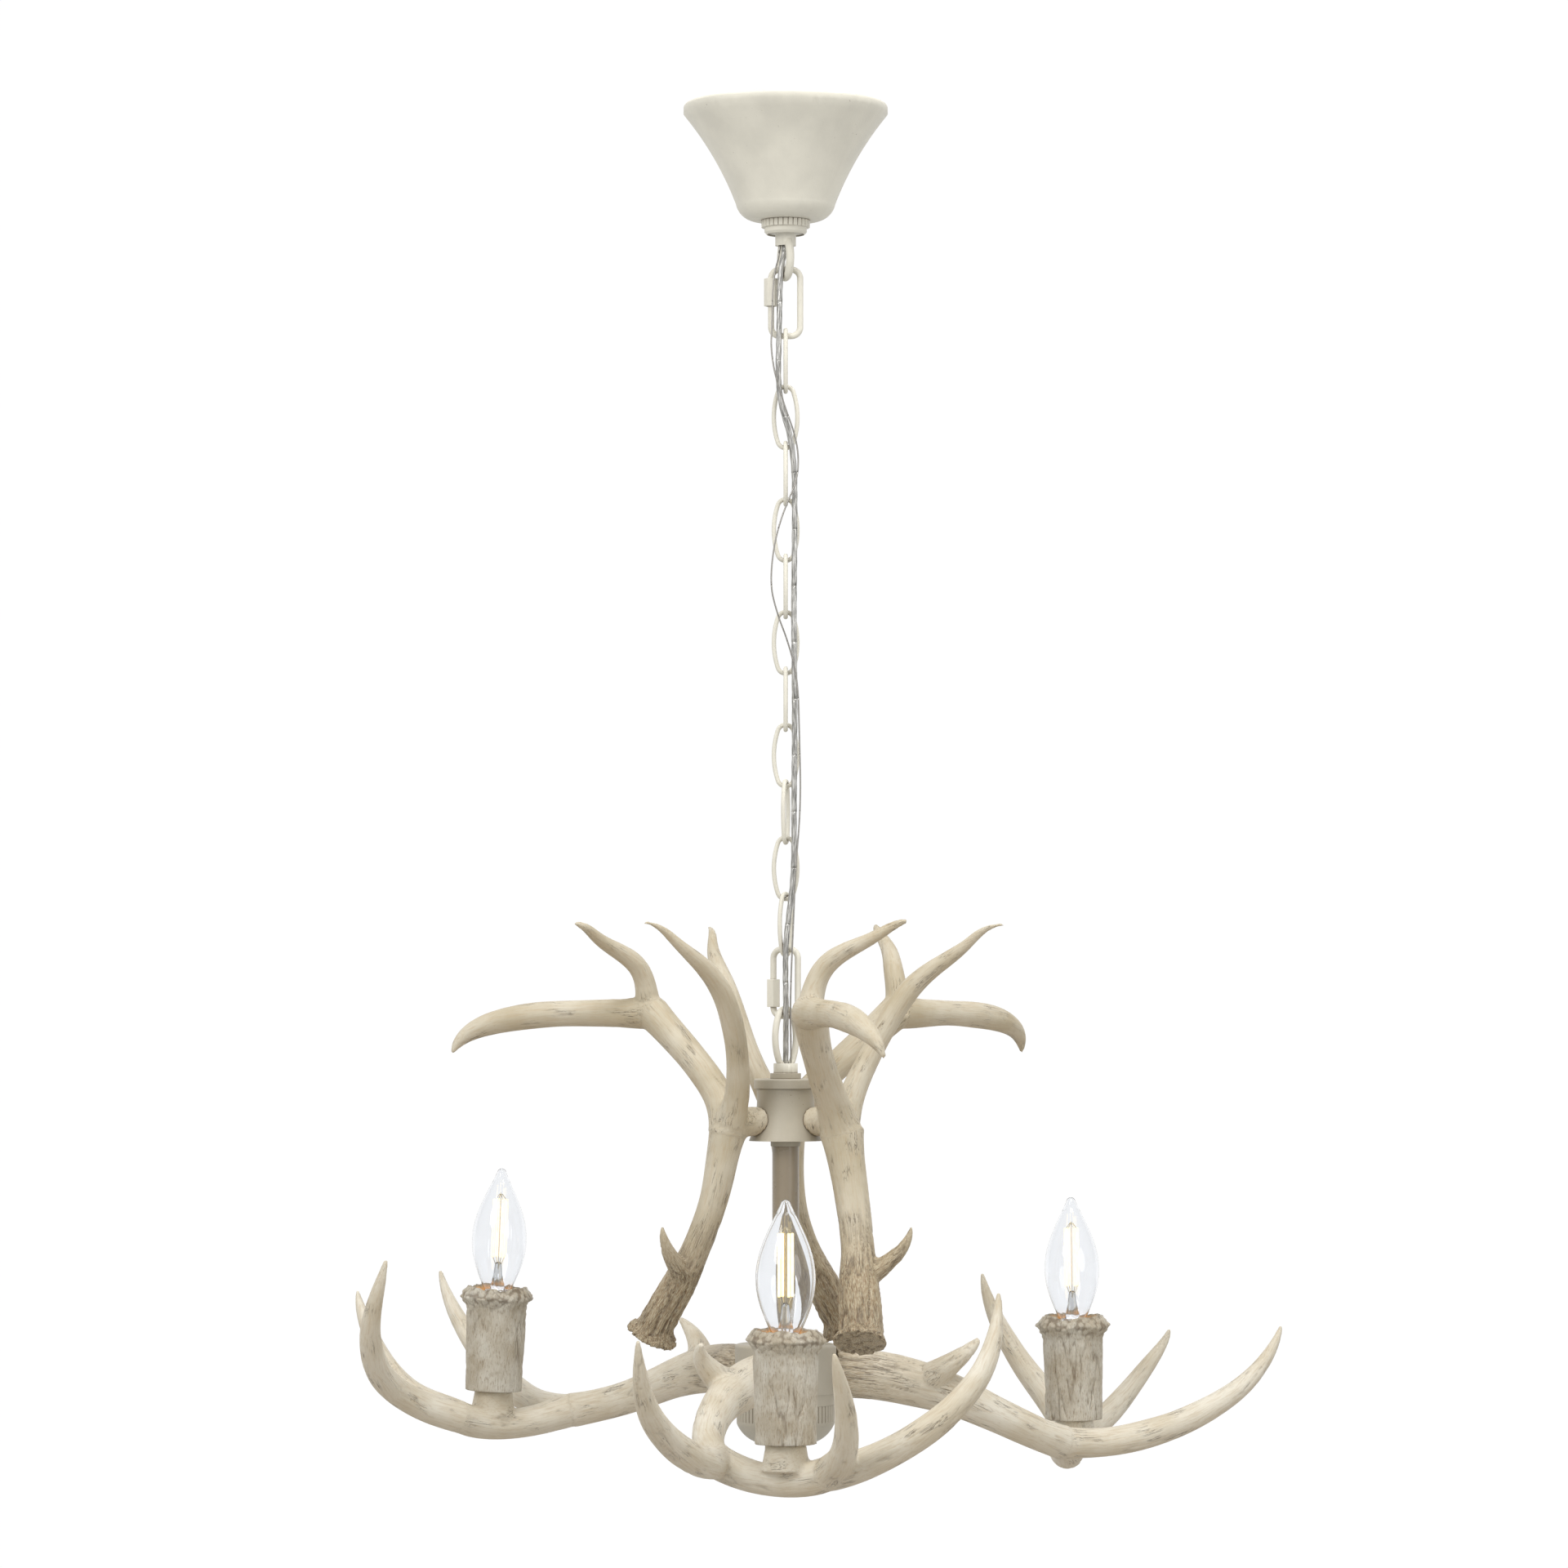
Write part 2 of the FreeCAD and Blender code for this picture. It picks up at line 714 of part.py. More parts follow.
def groove_out(body, sketch):
    """Cuts a profile turned about the body's Z axis out of the body."""
    doc.recompute()
    before = body.Shape.Volume
    groove = body.newObject("PartDesign::Groove", f"{sketch.Label}_groove")
    groove.Profile = sketch
    groove.ReferenceAxis = (sketch, ["V_Axis"])
    groove.Angle = 360.0
    doc.recompute()
    if body.Shape.Volume >= before:
        raise RuntimeError(f"{sketch.Label} cuts nothing from {body.Label}")
    return groove


# ---------------------------------------------------------------------------------------
# Quick links and chain
# ---------------------------------------------------------------------------------------
def quick_link(label, centre, turn_by, flipped):
    """A rounded wire link, open under its threaded sleeve on the left side."""
    body = new_body(label)
    wide, tall, corner = size("quick_half_width"), size("quick_half_height"), size("quick_corner")
    path = new_sketch(body, f"{label}_path", "XZ_Plane")
    draw_outline(path, [
        (wide, 0), (wide, tall - corner, corner, 1), (wide - corner, tall),
        (corner - wide, tall, corner, 1), (-wide, tall - corner),
        (-wide, corner - tall, corner, 1), (corner - wide, -tall),
        (wide - corner, -tall, corner, 1), (wide, corner - tall)])
    sweep_wire(body, path, wide, size("quick_wire"))
    gap = new_sketch(body, f"{label}_gap", "XZ_Plane")
    reach = size("quick_wire") * 0.75
    upper = tall - size("quick_gap_place")
    lower = upper - size("quick_gap")
    draw_outline(gap, [(-wide - reach, lower), (reach - wide, lower), (reach - wide, upper),
                       (-wide - reach, upper)])
    cut_through(body, gap, size("quick_wire") * 2)
    stand_link(body, centre, turn_by, flipped)
    keep(body)


def stand_link(body, centre, turn_by, flipped):
    """Places a link upright, or upside down with its sleeve on the same side."""
    place(body, centre, turn_by)
    if flipped:
        over = FreeCAD.Rotation(V(1, 0, 0), 180)
        body.Placement.Rotation = FreeCAD.Rotation(UP, turn_by).multiply(over)


def quick_sleeve(label, centre, turn_by, flipped):
    """The hexagonal nut that closes a quick link, screwed home over the gap."""
    body = hex_nut(label, size("sleeve_flats"), size("sleeve_length"), size("sleeve_bore") / 2)
    reach = val("quick_half_width")
    facing = FreeCAD.Rotation(UP, turn_by)
    if flipped:
        foot = centre - size("quick_half_height") + size("quick_corner")
    else:
        foot = centre + size("quick_half_height") - size("quick_corner") - size("sleeve_length")
    body.Placement = FreeCAD.Placement(facing.multVec(V(-reach, 0, 0)), facing)
    body.setExpression("Placement.Base.z", foot.text)
    keep(body)


LINK_TURNS = {9: 78.0, 11: 60.0}


def chain_link(number, centre):
    """Odd links stand edge-on to the front, even links face it; two are twisted a little."""
    label = f"chain_link_{number:02d}"
    body = new_body(label)
    wire_loop(body, f"{label}_path", size("chain_half_width"), size("chain_half_height"),
              size("chain_end_radius"), size("chain_wire"))
    plain_turn = 90.0 if number % 2 else 0.0
    place(body, centre, LINK_TURNS.get(number, plain_turn))
    keep(body)


# ---------------------------------------------------------------------------------------
# Centre column: hub loop, drum, stem, lower hub
# ---------------------------------------------------------------------------------------
def hub_loop():
    """Wire loop on a small block that screws on the tie pipe, bored for the cable."""
    body = new_body("hub_loop")
    wire_loop(body, "hub_loop_path", size("hub_loop_half_width"), size("hub_loop_half_height"),
              size("hub_loop_end_radius"), size("hub_loop_wire"))
    top = BLOCK_TOP - HUB_LOOP_CENTRE
    bottom = BLOCK_BOTTOM - HUB_LOOP_CENTRE
    radius = size("block_radius")
    turn(body, [(0, top), (radius, top), (radius, bottom), (0, bottom)])
    bored = new_sketch(body, "hub_loop_bore", "XZ_Plane")
    thread = size("tie_diameter") / 2
    passage = size("cable_diameter") / 2 + size("hub_loop_wire") * 0.15
    thread_end = bottom + SCREWED_LENGTH
    passage_end = top + size("hub_loop_wire")
    draw_outline(bored, [(0, bottom), (thread, bottom), (thread, thread_end),
                         (passage, thread_end), (passage, passage_end), (0, passage_end)])
    groove_out(body, bored)
    place(body, HUB_LOOP_CENTRE, val("hub_loop_turn"))
    keep(body)


def tie_hole():
    return size("tie_diameter") / 2 + size("tie_clearance")


def hub_washer():
    body = turned("hub_washer", tube_corners(size("washer_radius"), tie_hole(), 0,
                                             -size("washer_height")))
    place(body, BLOCK_BOTTOM)
    keep(body)


def hub_lid():
    """The drum's cap: a plate with a thin skirt over the drum's rim."""
    outer = size("lid_radius")
    inner = size("drum_top") + size("tie_clearance")
    plate, skirt = size("lid_plate"), size("lid_height")
    body = turned("hub_lid", [
        (tie_hole(), 0), (outer - 0.8, 0), (outer, -0.8), (outer, -skirt), (inner, -skirt),
        (inner, -plate), (tie_hole(), -plate)])
    place(body, LID_TOP)
    keep(body)


def side_holes(body, name, radius, level, reach):
    """Three round holes through a drum's wall, one toward +X and two more evenly round."""
    sketch = new_sketch(body, name, "YZ_Plane")
    draw_circle(sketch, 0, level, radius)
    doc.recompute()
    before = body.Shape.Volume
    pocket = body.newObject("PartDesign::Pocket", f"{name}_cut")
    pocket.Profile = sketch
    pocket.Reversed = True
    pocket.setExpression("Length", reach.text)
    doc.recompute()
    if body.Shape.Volume >= before:
        raise RuntimeError(f"{name} cuts nothing")
    repeat_round(body, pocket, 3)


def upper_hub():
    """The flared drum that the three upper antlers are screwed to."""
    top, bottom, height = size("drum_top"), size("drum_bottom"), size("drum_height")
    wall, floor, flare = size("drum_wall"), size("drum_floor"), size("drum_flare")
    body = turned("upper_hub", [
        (top, 0, flare, 1), (bottom, -height), (tie_hole(), -height), (tie_hole(), floor - height),
        (bottom - wall, floor - height, flare, -1), (top - wall, 0)])
    side_holes(body, "drum_screw_holes", size("upper_screw_shank") / 2 + size("screw_clearance"),
               -size("upper_seat_drop"), size("drum_bottom") * 2)
    place(body, DRUM_TOP, UPPER_AZIMUTH["right"])
    keep(body)


def stem_collar():
    body = turned("stem_collar", tube_corners(size("collar_radius"), tie_hole(), 0,
                                              -size("collar_height")))
    place(body, DRUM_BOTTOM)
    keep(body)


def stem_tube():
    body = turned("stem_tube", tube_corners(size("stem_radius"),
                                            size("stem_radius") - size("stem_wall"), 0,
                                            -size("stem_length")))
    place(body, STEM_TOP)
    keep(body)


def tie_pipe():
    """The threaded pipe that clamps the column together, from the hub loop to the hickey."""
    body = turned("tie_pipe", tube_corners(
        size("tie_diameter") / 2, size("tie_bore") / 2, BLOCK_BOTTOM + SCREWED_LENGTH,
        HICKEY_TOP - size("hickey_grip")))
    keep(body)


def hickey():
    """A yoke under the hub plate: threaded head, two legs round a wiring window, a stud."""
    radius, height, head = size("hickey_radius"), size("hickey_height"), size("hickey_grip")
    stud = size("tie_diameter") / 2
    thread = size("tie_diameter") / 2
    stud_end = BOWL_BOTTOM - HICKEY_TOP - size("finial_hole_depth")
    body = turned("hickey", [
        (thread, 0), (radius, 0), (radius, -height), (stud, -height), (stud, stud_end),
        (0, stud_end), (0, head - height), (thread, head - height)])
    window = new_sketch(body, "hickey_window", "YZ_Plane")
    side = size("hickey_leg_gap") / 2
    draw_outline(window, [(-side, head - height), (side, head - height), (side, -head),
                          (-side, -head)])
    cut_through(body, window, radius * 4)
    place(body, HICKEY_TOP, AZIMUTH["right"] + val("arm_seat_turn"))
    keep(body)


def lower_hub():
    """The drum that carries the three lamp arms, closed by a plate at the top."""
    outer, band = size("hub_radius"), size("hub_band_radius")
    height, low = size("hub_height"), size("hub_height") + size("hub_band_height")
    plate = size("hub_plate")
    inner_band = band - size("hub_wall")
    body = turned("lower_hub", [
        (tie_hole(), 0), (outer - 2, 0, as_size(2), -1), (outer, -2), (outer, -height),
        (band, -height), (band, -low), (inner_band, -low), (inner_band, -plate - 4),
        (inner_band - 4, -plate), (tie_hole(), -plate)])
    side_holes(body, "arm_bolt_holes", size("arm_bolt_shank") / 2 + size("screw_clearance"),
               -size("lower_seat_drop"), outer * 2)
    place(body, HUB_TOP, AZIMUTH["right"] + val("arm_seat_turn"))
    keep(body)


def reeded_cup():
    """The bottom cover: an upright reeded band that curves under to a flat seat."""
    outer, wall = size("reed_radius"), size("cup_wall")
    foot, reed, bowl = size("bowl_radius"), size("reed_height"), size("bowl_height")
    curve = size("bowl_curve")
    hole = tie_hole()
    body = turned("reeded_cup", [
        (outer - wall - size("reed_depth"), 0), (outer, 0), (outer, -reed, curve, -1),
        (foot, -reed - bowl), (hole, -reed - bowl), (hole, wall - reed - bowl),
        (foot, wall - reed - bowl, curve - wall, 1),
        (outer - wall - size("reed_depth"), -reed)])
    notch = new_sketch(body, "reed_notch", "XY_Plane")
    half = size("reed_width") / 2
    deep, outside = outer - size("reed_depth"), outer + size("reed_depth")
    draw_outline(notch, [(deep, 0), (outside, -half), (outside, half)])
    pocket = cut_through(body, notch, (reed - 1.5) * 2)
    repeat_round(body, pocket, size("reed_count"))
    place(body, REED_TOP)
    keep(body)


def finial():
    """The cap nut under the bottom cover."""
    radius, height, ease = size("finial_radius"), size("finial_height"), size("finial_round")
    thread, deep = size("tie_diameter") / 2, size("finial_hole_depth")
    body = turned("finial", [
        (thread, 0), (radius, 0), (radius, ease - height, ease, -1), (radius - ease, -height),
        (0, -height), (0, -deep), (thread, -deep)])
    place(body, BOWL_BOTTOM)
    keep(body)


# ---------------------------------------------------------------------------------------
# Antlers. A station is (out, round, up, radius) in the antler's own frame, whose origin is
# the seat on its hub: out from the column, round it anticlockwise, and up.
# ---------------------------------------------------------------------------------------
UPPER_TINES = {
    "trunk": [(50.5, -38, -132, 13.0), (47.5, -31, -119, 12.0), (42.5, -24, -105, 11.8),
              (35.5, -13, -82, 9.8), (28.5, -5, -57, 9.3), (22.5, -2, -30, 10.0),
              (17.5, -1, -6, 12.5)],
    "main_branch": [(17.5, -1, -6, 12.5), (16.5, -10, 11, 10.3), (19.5, -28, 30, 9.4),
                    (25.5, -48, 48, 9.6), (33.5, -69, 67, 11.0)],
    "drooping_tine": [(33.5, -69, 67, 11.0), (57.5, -95, 66, 8.6), (81.5, -118, 65, 8.4),
                      (103.5, -137, 61, 7.6), (120.5, -148, 53, 5.2), (130, -151, 41, 1.2)],
    "curled_tine": [(33.5, -69, 67, 9.0), (37.5, -69, 82, 7.0), (44.5, -67, 95, 6.3),
                    (60.5, -65, 105, 5.2), (76.5, -61, 113, 3.8), (93.5, -57, 121, 1.2)],
    "single_tine": [(17.5, -1, -6, 11.0), (17.5, 8, 10, 8.6), (20.5, 17, 28, 7.4),
                    (29.5, 28, 54, 7.1), (44.5, 37, 81, 6.6), (58.5, 42, 94, 5.5),
                    (78.5, 46, 108, 3.6), (102.5, 49, 120, 1.1)],
    "spur": [(39.5, -17, -95, 8.0), (50.5, -7, -86, 5.8), (59.5, -1.5, -76, 4.0),
             (64.5, 1.5, -63, 1.1)],
}
LOWER_TINES = {
    "beam": [(-4, -5, 0, 15.5), (21, -16, -1, 14.8), (45, -28, -5, 13.8), (69, -38, -12, 12.0),
             (94, -44, -22, 10.7), (121, -45, -32, 10.0), (147, -40, -39, 10.6)],
    "outer_tine": [(147, -40, -39, 10.6), (174, -45, -38, 9.5), (199, -55, -32, 9.3),
                   (225, -67, -20, 8.4), (251, -77, -2, 6.7), (269, -81, 18, 4.5),
                   (279, -82, 39, 1.3)],
    "saddle": [(147, -40, -39, 10.6), (164, -21, -46, 9.8), (177, 0, -48, 9.9),
               (189, 24, -43, 10.3)],
    "long_tine": [(189, 24, -43, 10.3), (203, 45, -36, 9.4), (211, 68, -24, 8.9),
                  (209, 92, -7, 8.1), (201, 111, 15, 6.7), (191, 120, 39, 4.5),
                  (184, 122, 60.5, 1.3)],
    "middle_tine": [(189, 24, -43, 10.0), (214, 31, -33, 8.5), (235, 34, -19, 7.4),
                    (251, 33, 0, 5.9), (262, 30, 16, 4.1), (269, 27, 31, 1.3)],
    "brow_tine": [(49, -30, -6, 12.0), (57, -44, 6, 7.7), (66, -50, 15, 5.2),
                  (76, -50, 24, 1.6)],
}
# The way an oval section is broad, and by how much its width exceeds a round section's.
# The other tines are nearly round, and broad across the plane that they bend in.
BROAD = {"trunk": (V(0.87, 0.5, 0), 1.12), "beam": (V(0, 0, 1), 1.05)}
NEARLY_ROUND = 1.02
SEAT_STUB_RADIUS = 9.0
SEAT_STUB_START = -6.0
SEAT_STUB_LENGTH = 22.0
BURR_INSET = 0.8
SCREW_RELIEF = 1.2
BURR_REACH = 4.2


def oval_section(point, along, radius, broad, ratio):
    wide = (broad - along * broad.dot(along)).normalize()
    narrow = along.cross(wide)
    oval = Part.Ellipse(point + wide * (radius * ratio), point + narrow * (radius / ratio), point)
    return Part.Wire(oval.toShape())


def bending_axis(points):
    """The axis that a line of points turns about, taken over its whole length."""
    steps = [(after - before).normalize() for before, after in zip(points, points[1:])]
    axis = V(0, 0, 0)
    for before, after in zip(steps, steps[1:]):
        axis += before.cross(after)
    return axis.normalize()


def tine(name, stations):
    """A loft through oval sections square to the line of stations."""
    points = [V(*station[:3]) for station in stations]
    broad, ratio = BROAD.get(name, (bending_axis(points), NEARLY_ROUND))
    sections = []
    for index, point in enumerate(points):
        before = points[max(index - 1, 0)]
        after = points[min(index + 1, len(points) - 1)]
        along = (after - before).normalize()
        sections.append(oval_section(point, along, stations[index][3], broad, ratio))
    return Part.makeLoft(sections, True, False)


def burr(start, toward, radius):
    """The flared rim round the sawn end of an antler."""
    along = (toward - start).normalize()
    rim = Part.makeCylinder(radius + BURR_REACH, 2.6, start, along)
    flare = Part.makeCone(radius + BURR_REACH, radius, 5.0, start + along * 2.6, along)
    return rim.fuse(flare)


def joined_tines(tines):
    solids = [tine(name, stations) for name, stations in tines.items()]
    knuckles = {stations[0][:3]: stations[0][3] for name, stations in tines.items()
                if name not in ("trunk", "beam", "spur", "brow_tine")}
    solids += [Part.makeSphere(radius, V(*point)) for point, radius in knuckles.items()]
    return solids


def drum_arc(extra):
    """The drum's flared side as an arc of (radius, height), moved outward by extra."""
    top = V(val("drum_top") + extra, 0, 0)
    bottom = V(val("drum_bottom") + extra, -val("drum_height"), 0)
    return arc_through(top, bottom, val("drum_flare"), 1)


def drum_radius(drop, extra):
    """Radius of the drum's side at a depth under its rim."""
    arc = drum_arc(extra)
    return arc.Center.x - math.sqrt(arc.Radius ** 2 - (drop + arc.Center.y) ** 2)


def drum_block(extra):
    """A solid plug of the drum's outer form, larger by extra, at its place on the column."""
    arc = drum_arc(extra).toShape()
    top, bottom = V(val("drum_top") + extra, 0, 0), V(val("drum_bottom") + extra,
                                                      -val("drum_height"), 0)
    low, high = V(0, bottom.y, 0), V(0, 0, 0)
    wire = Part.Wire(Part.__sortEdges__([arc, Part.makeLine(bottom, low), Part.makeLine(low, high),
                                         Part.makeLine(high, top)]))
    face = Part.Face(wire)
    face.rotate(V(0, 0, 0), V(1, 0, 0), 90)
    plug = face.revolve(V(0, 0, 0), UP, 360)
    plug.translate(V(0, 0, DRUM_TOP.value))
    return plug


def seated(shape, azimuth, seat_radius, height):
    """Moves a shape from an antler's own frame to its seat."""
    turn_to = FreeCAD.Rotation(UP, azimuth)
    shape = shape.copy()
    shape.Placement = FreeCAD.Placement(
        turn_to.multVec(V(seat_radius, 0, 0)) + V(0, 0, height), turn_to)
    return shape


def screw_way(azimuth, height, start, length, radius):
    """A round hole or shank that runs out from the column at a level."""
    out = FreeCAD.Rotation(UP, azimuth).multVec(V(1, 0, 0))
    return Part.makeCylinder(radius, length, out * start + V(0, 0, height), out)


def upper_screw_start():
    inner = drum_radius(val("upper_seat_drop"), -val("drum_wall"))
    head = val("upper_screw_head") / 2
    return math.sqrt(inner ** 2 - head ** 2) - SCREW_RELIEF


def upper_antlers():
    """Three casts of one forked antler, each coped to the drum and bored for its screw."""
    solids = joined_tines(UPPER_TINES)
    trunk = [V(*station[:3]) for station in UPPER_TINES["trunk"]]
    solids.append(burr(trunk[0], trunk[1], UPPER_TINES["trunk"][0][3] - BURR_INSET))
    solids.append(Part.makeCylinder(SEAT_STUB_RADIUS, SEAT_STUB_LENGTH, V(SEAT_STUB_START, 0, 0),
                                    V(1, 0, 0)))
    antler = solids[0].multiFuse(solids[1:])
    plug = drum_block(val("seat_clearance"))
    start = upper_screw_start()
    for side, azimuth in UPPER_AZIMUTH.items():
        shape = seated(antler, azimuth, val("drum_bottom"), UPPER_SEAT.value)
        hole = screw_way(azimuth, UPPER_SEAT.value, start, val("upper_screw_length"),
                         val("upper_screw_shank") / 2 + val("screw_clearance"))
        solid_piece(f"upper_antler_{side}", shape.cut(plug).cut(hole))


def antler_screws():
    """The three screws that pull the upper antlers to the drum from inside."""
    start, height = upper_screw_start(), UPPER_SEAT.value
    screws = []
    for side, azimuth in UPPER_AZIMUTH.items():
        shank = screw_way(azimuth, height, start, val("upper_screw_length"),
                          val("upper_screw_shank") / 2)
        head = screw_way(azimuth, height, start - val("screw_head_height"),
                         val("screw_head_height"), val("upper_screw_head") / 2)
        screws.append(shank.fuse(head))
    solid_piece("antler_screws", Part.makeCompound(screws))


def arm_frame(side):
    """An arm's own frame: at its seat on the lower hub, turned to its side and lifted."""
    facing = FreeCAD.Rotation(UP, AZIMUTH[side])
    lifted = FreeCAD.Rotation(V(0, 1, 0), -val(f"{side}_arm_lift"))
    origin = facing.multVec(V(val("hub_radius"), 0, 0)) + V(0, 0, LOWER_SEAT.value)
    return FreeCAD.Placement(origin, facing.multiply(lifted))


def lamp_frame(side):
    """A lamp's own frame: its foot on the arm's boss, its axis leaning inward a little."""
    foot = arm_frame(side).multVec(V(val("lamp_reach"), 0, -val("lamp_drop")))
    facing = FreeCAD.Rotation(UP, AZIMUTH[side])
    leaning = FreeCAD.Rotation(V(0, 1, 0), -val(f"{side}_lamp_lean"))
    return FreeCAD.Placement(foot, facing.multiply(leaning))


def arm_bolt_start():
    inner = val("hub_band_radius") - val("hub_wall")
    corner = val("arm_bolt_head") / math.sqrt(3)
    return math.sqrt(inner ** 2 - corner ** 2) - FIT


def lower_antlers():
    """Three casts of one arm: beam, brow tine, three upturned tines and the lamp's boss."""
    solids = joined_tines(LOWER_TINES)
    arm = solids[0].multiFuse(solids[1:])
    hub = Part.makeCylinder(val("hub_radius") + val("seat_clearance"), 2 * val("hub_height"),
                            V(0, 0, LOWER_SEAT.value - val("hub_height")))
    for side, azimuth in AZIMUTH.items():
        shape = arm.copy()
        shape.Placement = arm_frame(side)
        lamp = lamp_frame(side)
        boss = Part.makeCone(val("boss_foot"), val("boss_top"), val("boss_height"),
                             V(0, 0, -val("boss_height")))
        boss.Placement = lamp
        pipe_hole = Part.makeCylinder(val("pipe_diameter") / 2 + val("screw_clearance"),
                                      val("pipe_sink") + 1, V(0, 0, -val("pipe_sink")))
        pipe_hole.Placement = lamp
        bolt_hole = screw_way(azimuth + val("arm_seat_turn"), LOWER_SEAT.value, arm_bolt_start(),
                              val("arm_bolt_length"),
                              val("arm_bolt_shank") / 2 + val("screw_clearance"))
        channel = cord_tube(lead_points(side)[2:], val("pipe_bore"))
        shape = shape.fuse(boss).cut(hub).cut(pipe_hole).cut(bolt_hole).cut(channel)
        solid_piece(f"lower_antler_{side}", shape)


def arm_bolts():
    """Hollow hexagon bolts from inside the lower hub into each arm; the leads run in them."""
    height, start, thick = LOWER_SEAT.value, arm_bolt_start(), val("screw_head_height")
    bolts = []
    for side, azimuth in AZIMUTH.items():
        toward = azimuth + val("arm_seat_turn")
        shank = screw_way(toward, height, start, val("arm_bolt_length"), val("arm_bolt_shank") / 2)
        corner = V(0, val("arm_bolt_head") / math.sqrt(3), 0)
        ring = Part.makePolygon([FreeCAD.Rotation(V(1, 0, 0), 60 * turn_on).multVec(corner)
                                 for turn_on in range(7)])
        head = Part.Face(ring).extrude(V(thick, 0, 0))
        head.translate(V(start - thick, 0, 0))
        head.rotate(V(0, 0, 0), UP, toward)
        head.translate(V(0, 0, height))
        way = screw_way(toward, height, start - thick - 1, val("arm_bolt_length") + thick + 2,
                        val("arm_bolt_bore") / 2)
        bolts.append(shank.fuse(head).cut(way))
    solid_piece("arm_bolts", Part.makeCompound(bolts))


# ---------------------------------------------------------------------------------------
# Lamps
# ---------------------------------------------------------------------------------------
def raised(side, height):
    """A lamp's frame moved up its own axis."""
    frame = lamp_frame(side)
    return FreeCAD.Placement(frame.multVec(V(0, 0, height)), frame.Rotation)


def candle_cup(side):
    """The bark sleeve: open at the top, with a floor that the socket pipe goes through."""
    floor, bore_radius = size("cup_floor"), size("cup_bore")
    hole = size("pipe_diameter") / 2 + size("screw_clearance")
    top = size("cup_height")
    body = turned(f"candle_cup_{side}", [
        (hole, 0), (size("sleeve_foot"), 0),
        (size("sleeve_body"), size("sleeve_body_height")),
        (size("crown_radius"), size("crown_height") - size("crown_band")),
        (size("crown_radius") - size("crown_taper"), size("crown_height") + size("crown_band")),
        (size("crown_top_radius"), top - size("rim_edge")),
        (size("crown_top_radius") - size("rim_bevel"), top),
        (bore_radius + size("mouth_flare"), top), (bore_radius, top - size("mouth_depth")),
        (bore_radius, floor), (hole, floor)])
    body.Placement = lamp_frame(side)
    keep(body)


def socket_pipes():
    """The short threaded pipes that hold cup and lampholder on each boss."""
    pipes = []
    for side in AZIMUTH:
        length = val("pipe_sink") + val("pipe_rise")
        pipe = Part.makeCylinder(val("pipe_diameter") / 2, length)
        pipe = pipe.cut(Part.makeCylinder(val("pipe_bore") / 2, length))
        pipe.Placement = raised(side, -val("pipe_sink"))
        pipes.append(pipe)
    solid_piece("socket_pipes", Part.makeCompound(pipes))


def holder_foot():
    return val("cup_floor") + val("holder_seat")


def holder_top():
    return holder_foot() + val("holder_height")


def lampholders():
    """The three candle lampholders: a threaded foot, a wiring passage and the lamp's bore."""
    holders = []
    for side in AZIMUTH:
        height = val("holder_height")
        thread_depth = val("pipe_rise") - holder_foot() + val("run_clearance")
        holder = Part.makeCylinder(val("holder_radius"), height)
        thread = Part.makeCylinder(val("pipe_diameter") / 2 + val("screw_clearance"), thread_depth)
        passage = Part.makeCylinder(val("pipe_bore") / 2, height)
        lamp_bore = Part.makeCylinder(val("holder_bore"), val("holder_bore_depth"),
                                      V(0, 0, height - val("holder_bore_depth")))
        holder = holder.cut(thread).cut(passage).cut(lamp_bore)
        holder.Placement = raised(side, holder_foot())
        holders.append(holder)
    solid_piece("lampholders", Part.makeCompound(holders))


def bulb_bottom():
    """Height of the tip of the bulb's base above the lamp's foot."""
    return holder_top() + val("bulb_gap") - val("base_height") - val("base_tip_height")


def lamp_contacts():
    """The brass shell in each lampholder, with the centre contact on its floor."""
    contacts = []
    for side in AZIMUTH:
        foot = holder_top() - val("holder_bore_depth")
        radius, wall = val("shell_radius"), val("shell_wall")
        shell = Part.makeCylinder(radius, val("shell_height"))
        shell = shell.cut(Part.makeCylinder(radius - wall, val("shell_height"), V(0, 0, wall)))
        spring = Part.makeCylinder(2.0, bulb_bottom() - val("run_clearance") - foot)
        shell = shell.fuse(spring)
        shell.Placement = raised(side, foot)
        contacts.append(shell)
    solid_piece("lamp_contacts", Part.makeCompound(contacts))


def bulb_base(side):
    """The bulb's screw base: a flange under the glass, the shell, and the contact tip."""
    radius, tall = size("base_radius"), size("base_height")
    tip, tip_tall = size("base_tip_radius"), size("base_tip_height")
    neck = size("glass_neck")
    body = turned(f"bulb_base_{side}", [
        (0, 0), (tip * 0.6, 0), (tip, 1), (radius - 0.5, tip_tall), (radius, tip_tall + 0.5),
        (radius, tall + tip_tall), (neck - size("glass_wall") - 0.1, tall + tip_tall),
        (neck - size("glass_wall") - 0.1, tall + tip_tall + size("glass_seat")),
        (0, tall + tip_tall + size("glass_seat"))])
    body.Placement = raised(side, bulb_bottom())
    keep(body)


def glass_foot():
    return holder_top() + val("bulb_gap")


def bulb_glass(side):
    """A clear candle-shaped shell, drawn in to its neck and pulled to a point."""
    neck, belly, wall = size("glass_neck"), size("glass_radius"), size("glass_wall")
    belly_height, top = size("glass_belly_height"), size("glass_height")
    lower, upper, tip = size("glass_lower_curve"), size("glass_upper_curve"), size("glass_tip")
    shoulder = top - tip * 0.6
    body = turned(f"bulb_glass_{side}", [
        (neck - wall, 0), (neck, 0, lower, -1), (belly, belly_height, upper, 1),
        (tip, shoulder), (0, top), (0, top - wall * 2), (tip - wall, shoulder - wall, upper, -1),
        (belly - wall, belly_height, lower, 1)])
    body.Placement = raised(side, glass_foot())
    keep(body)


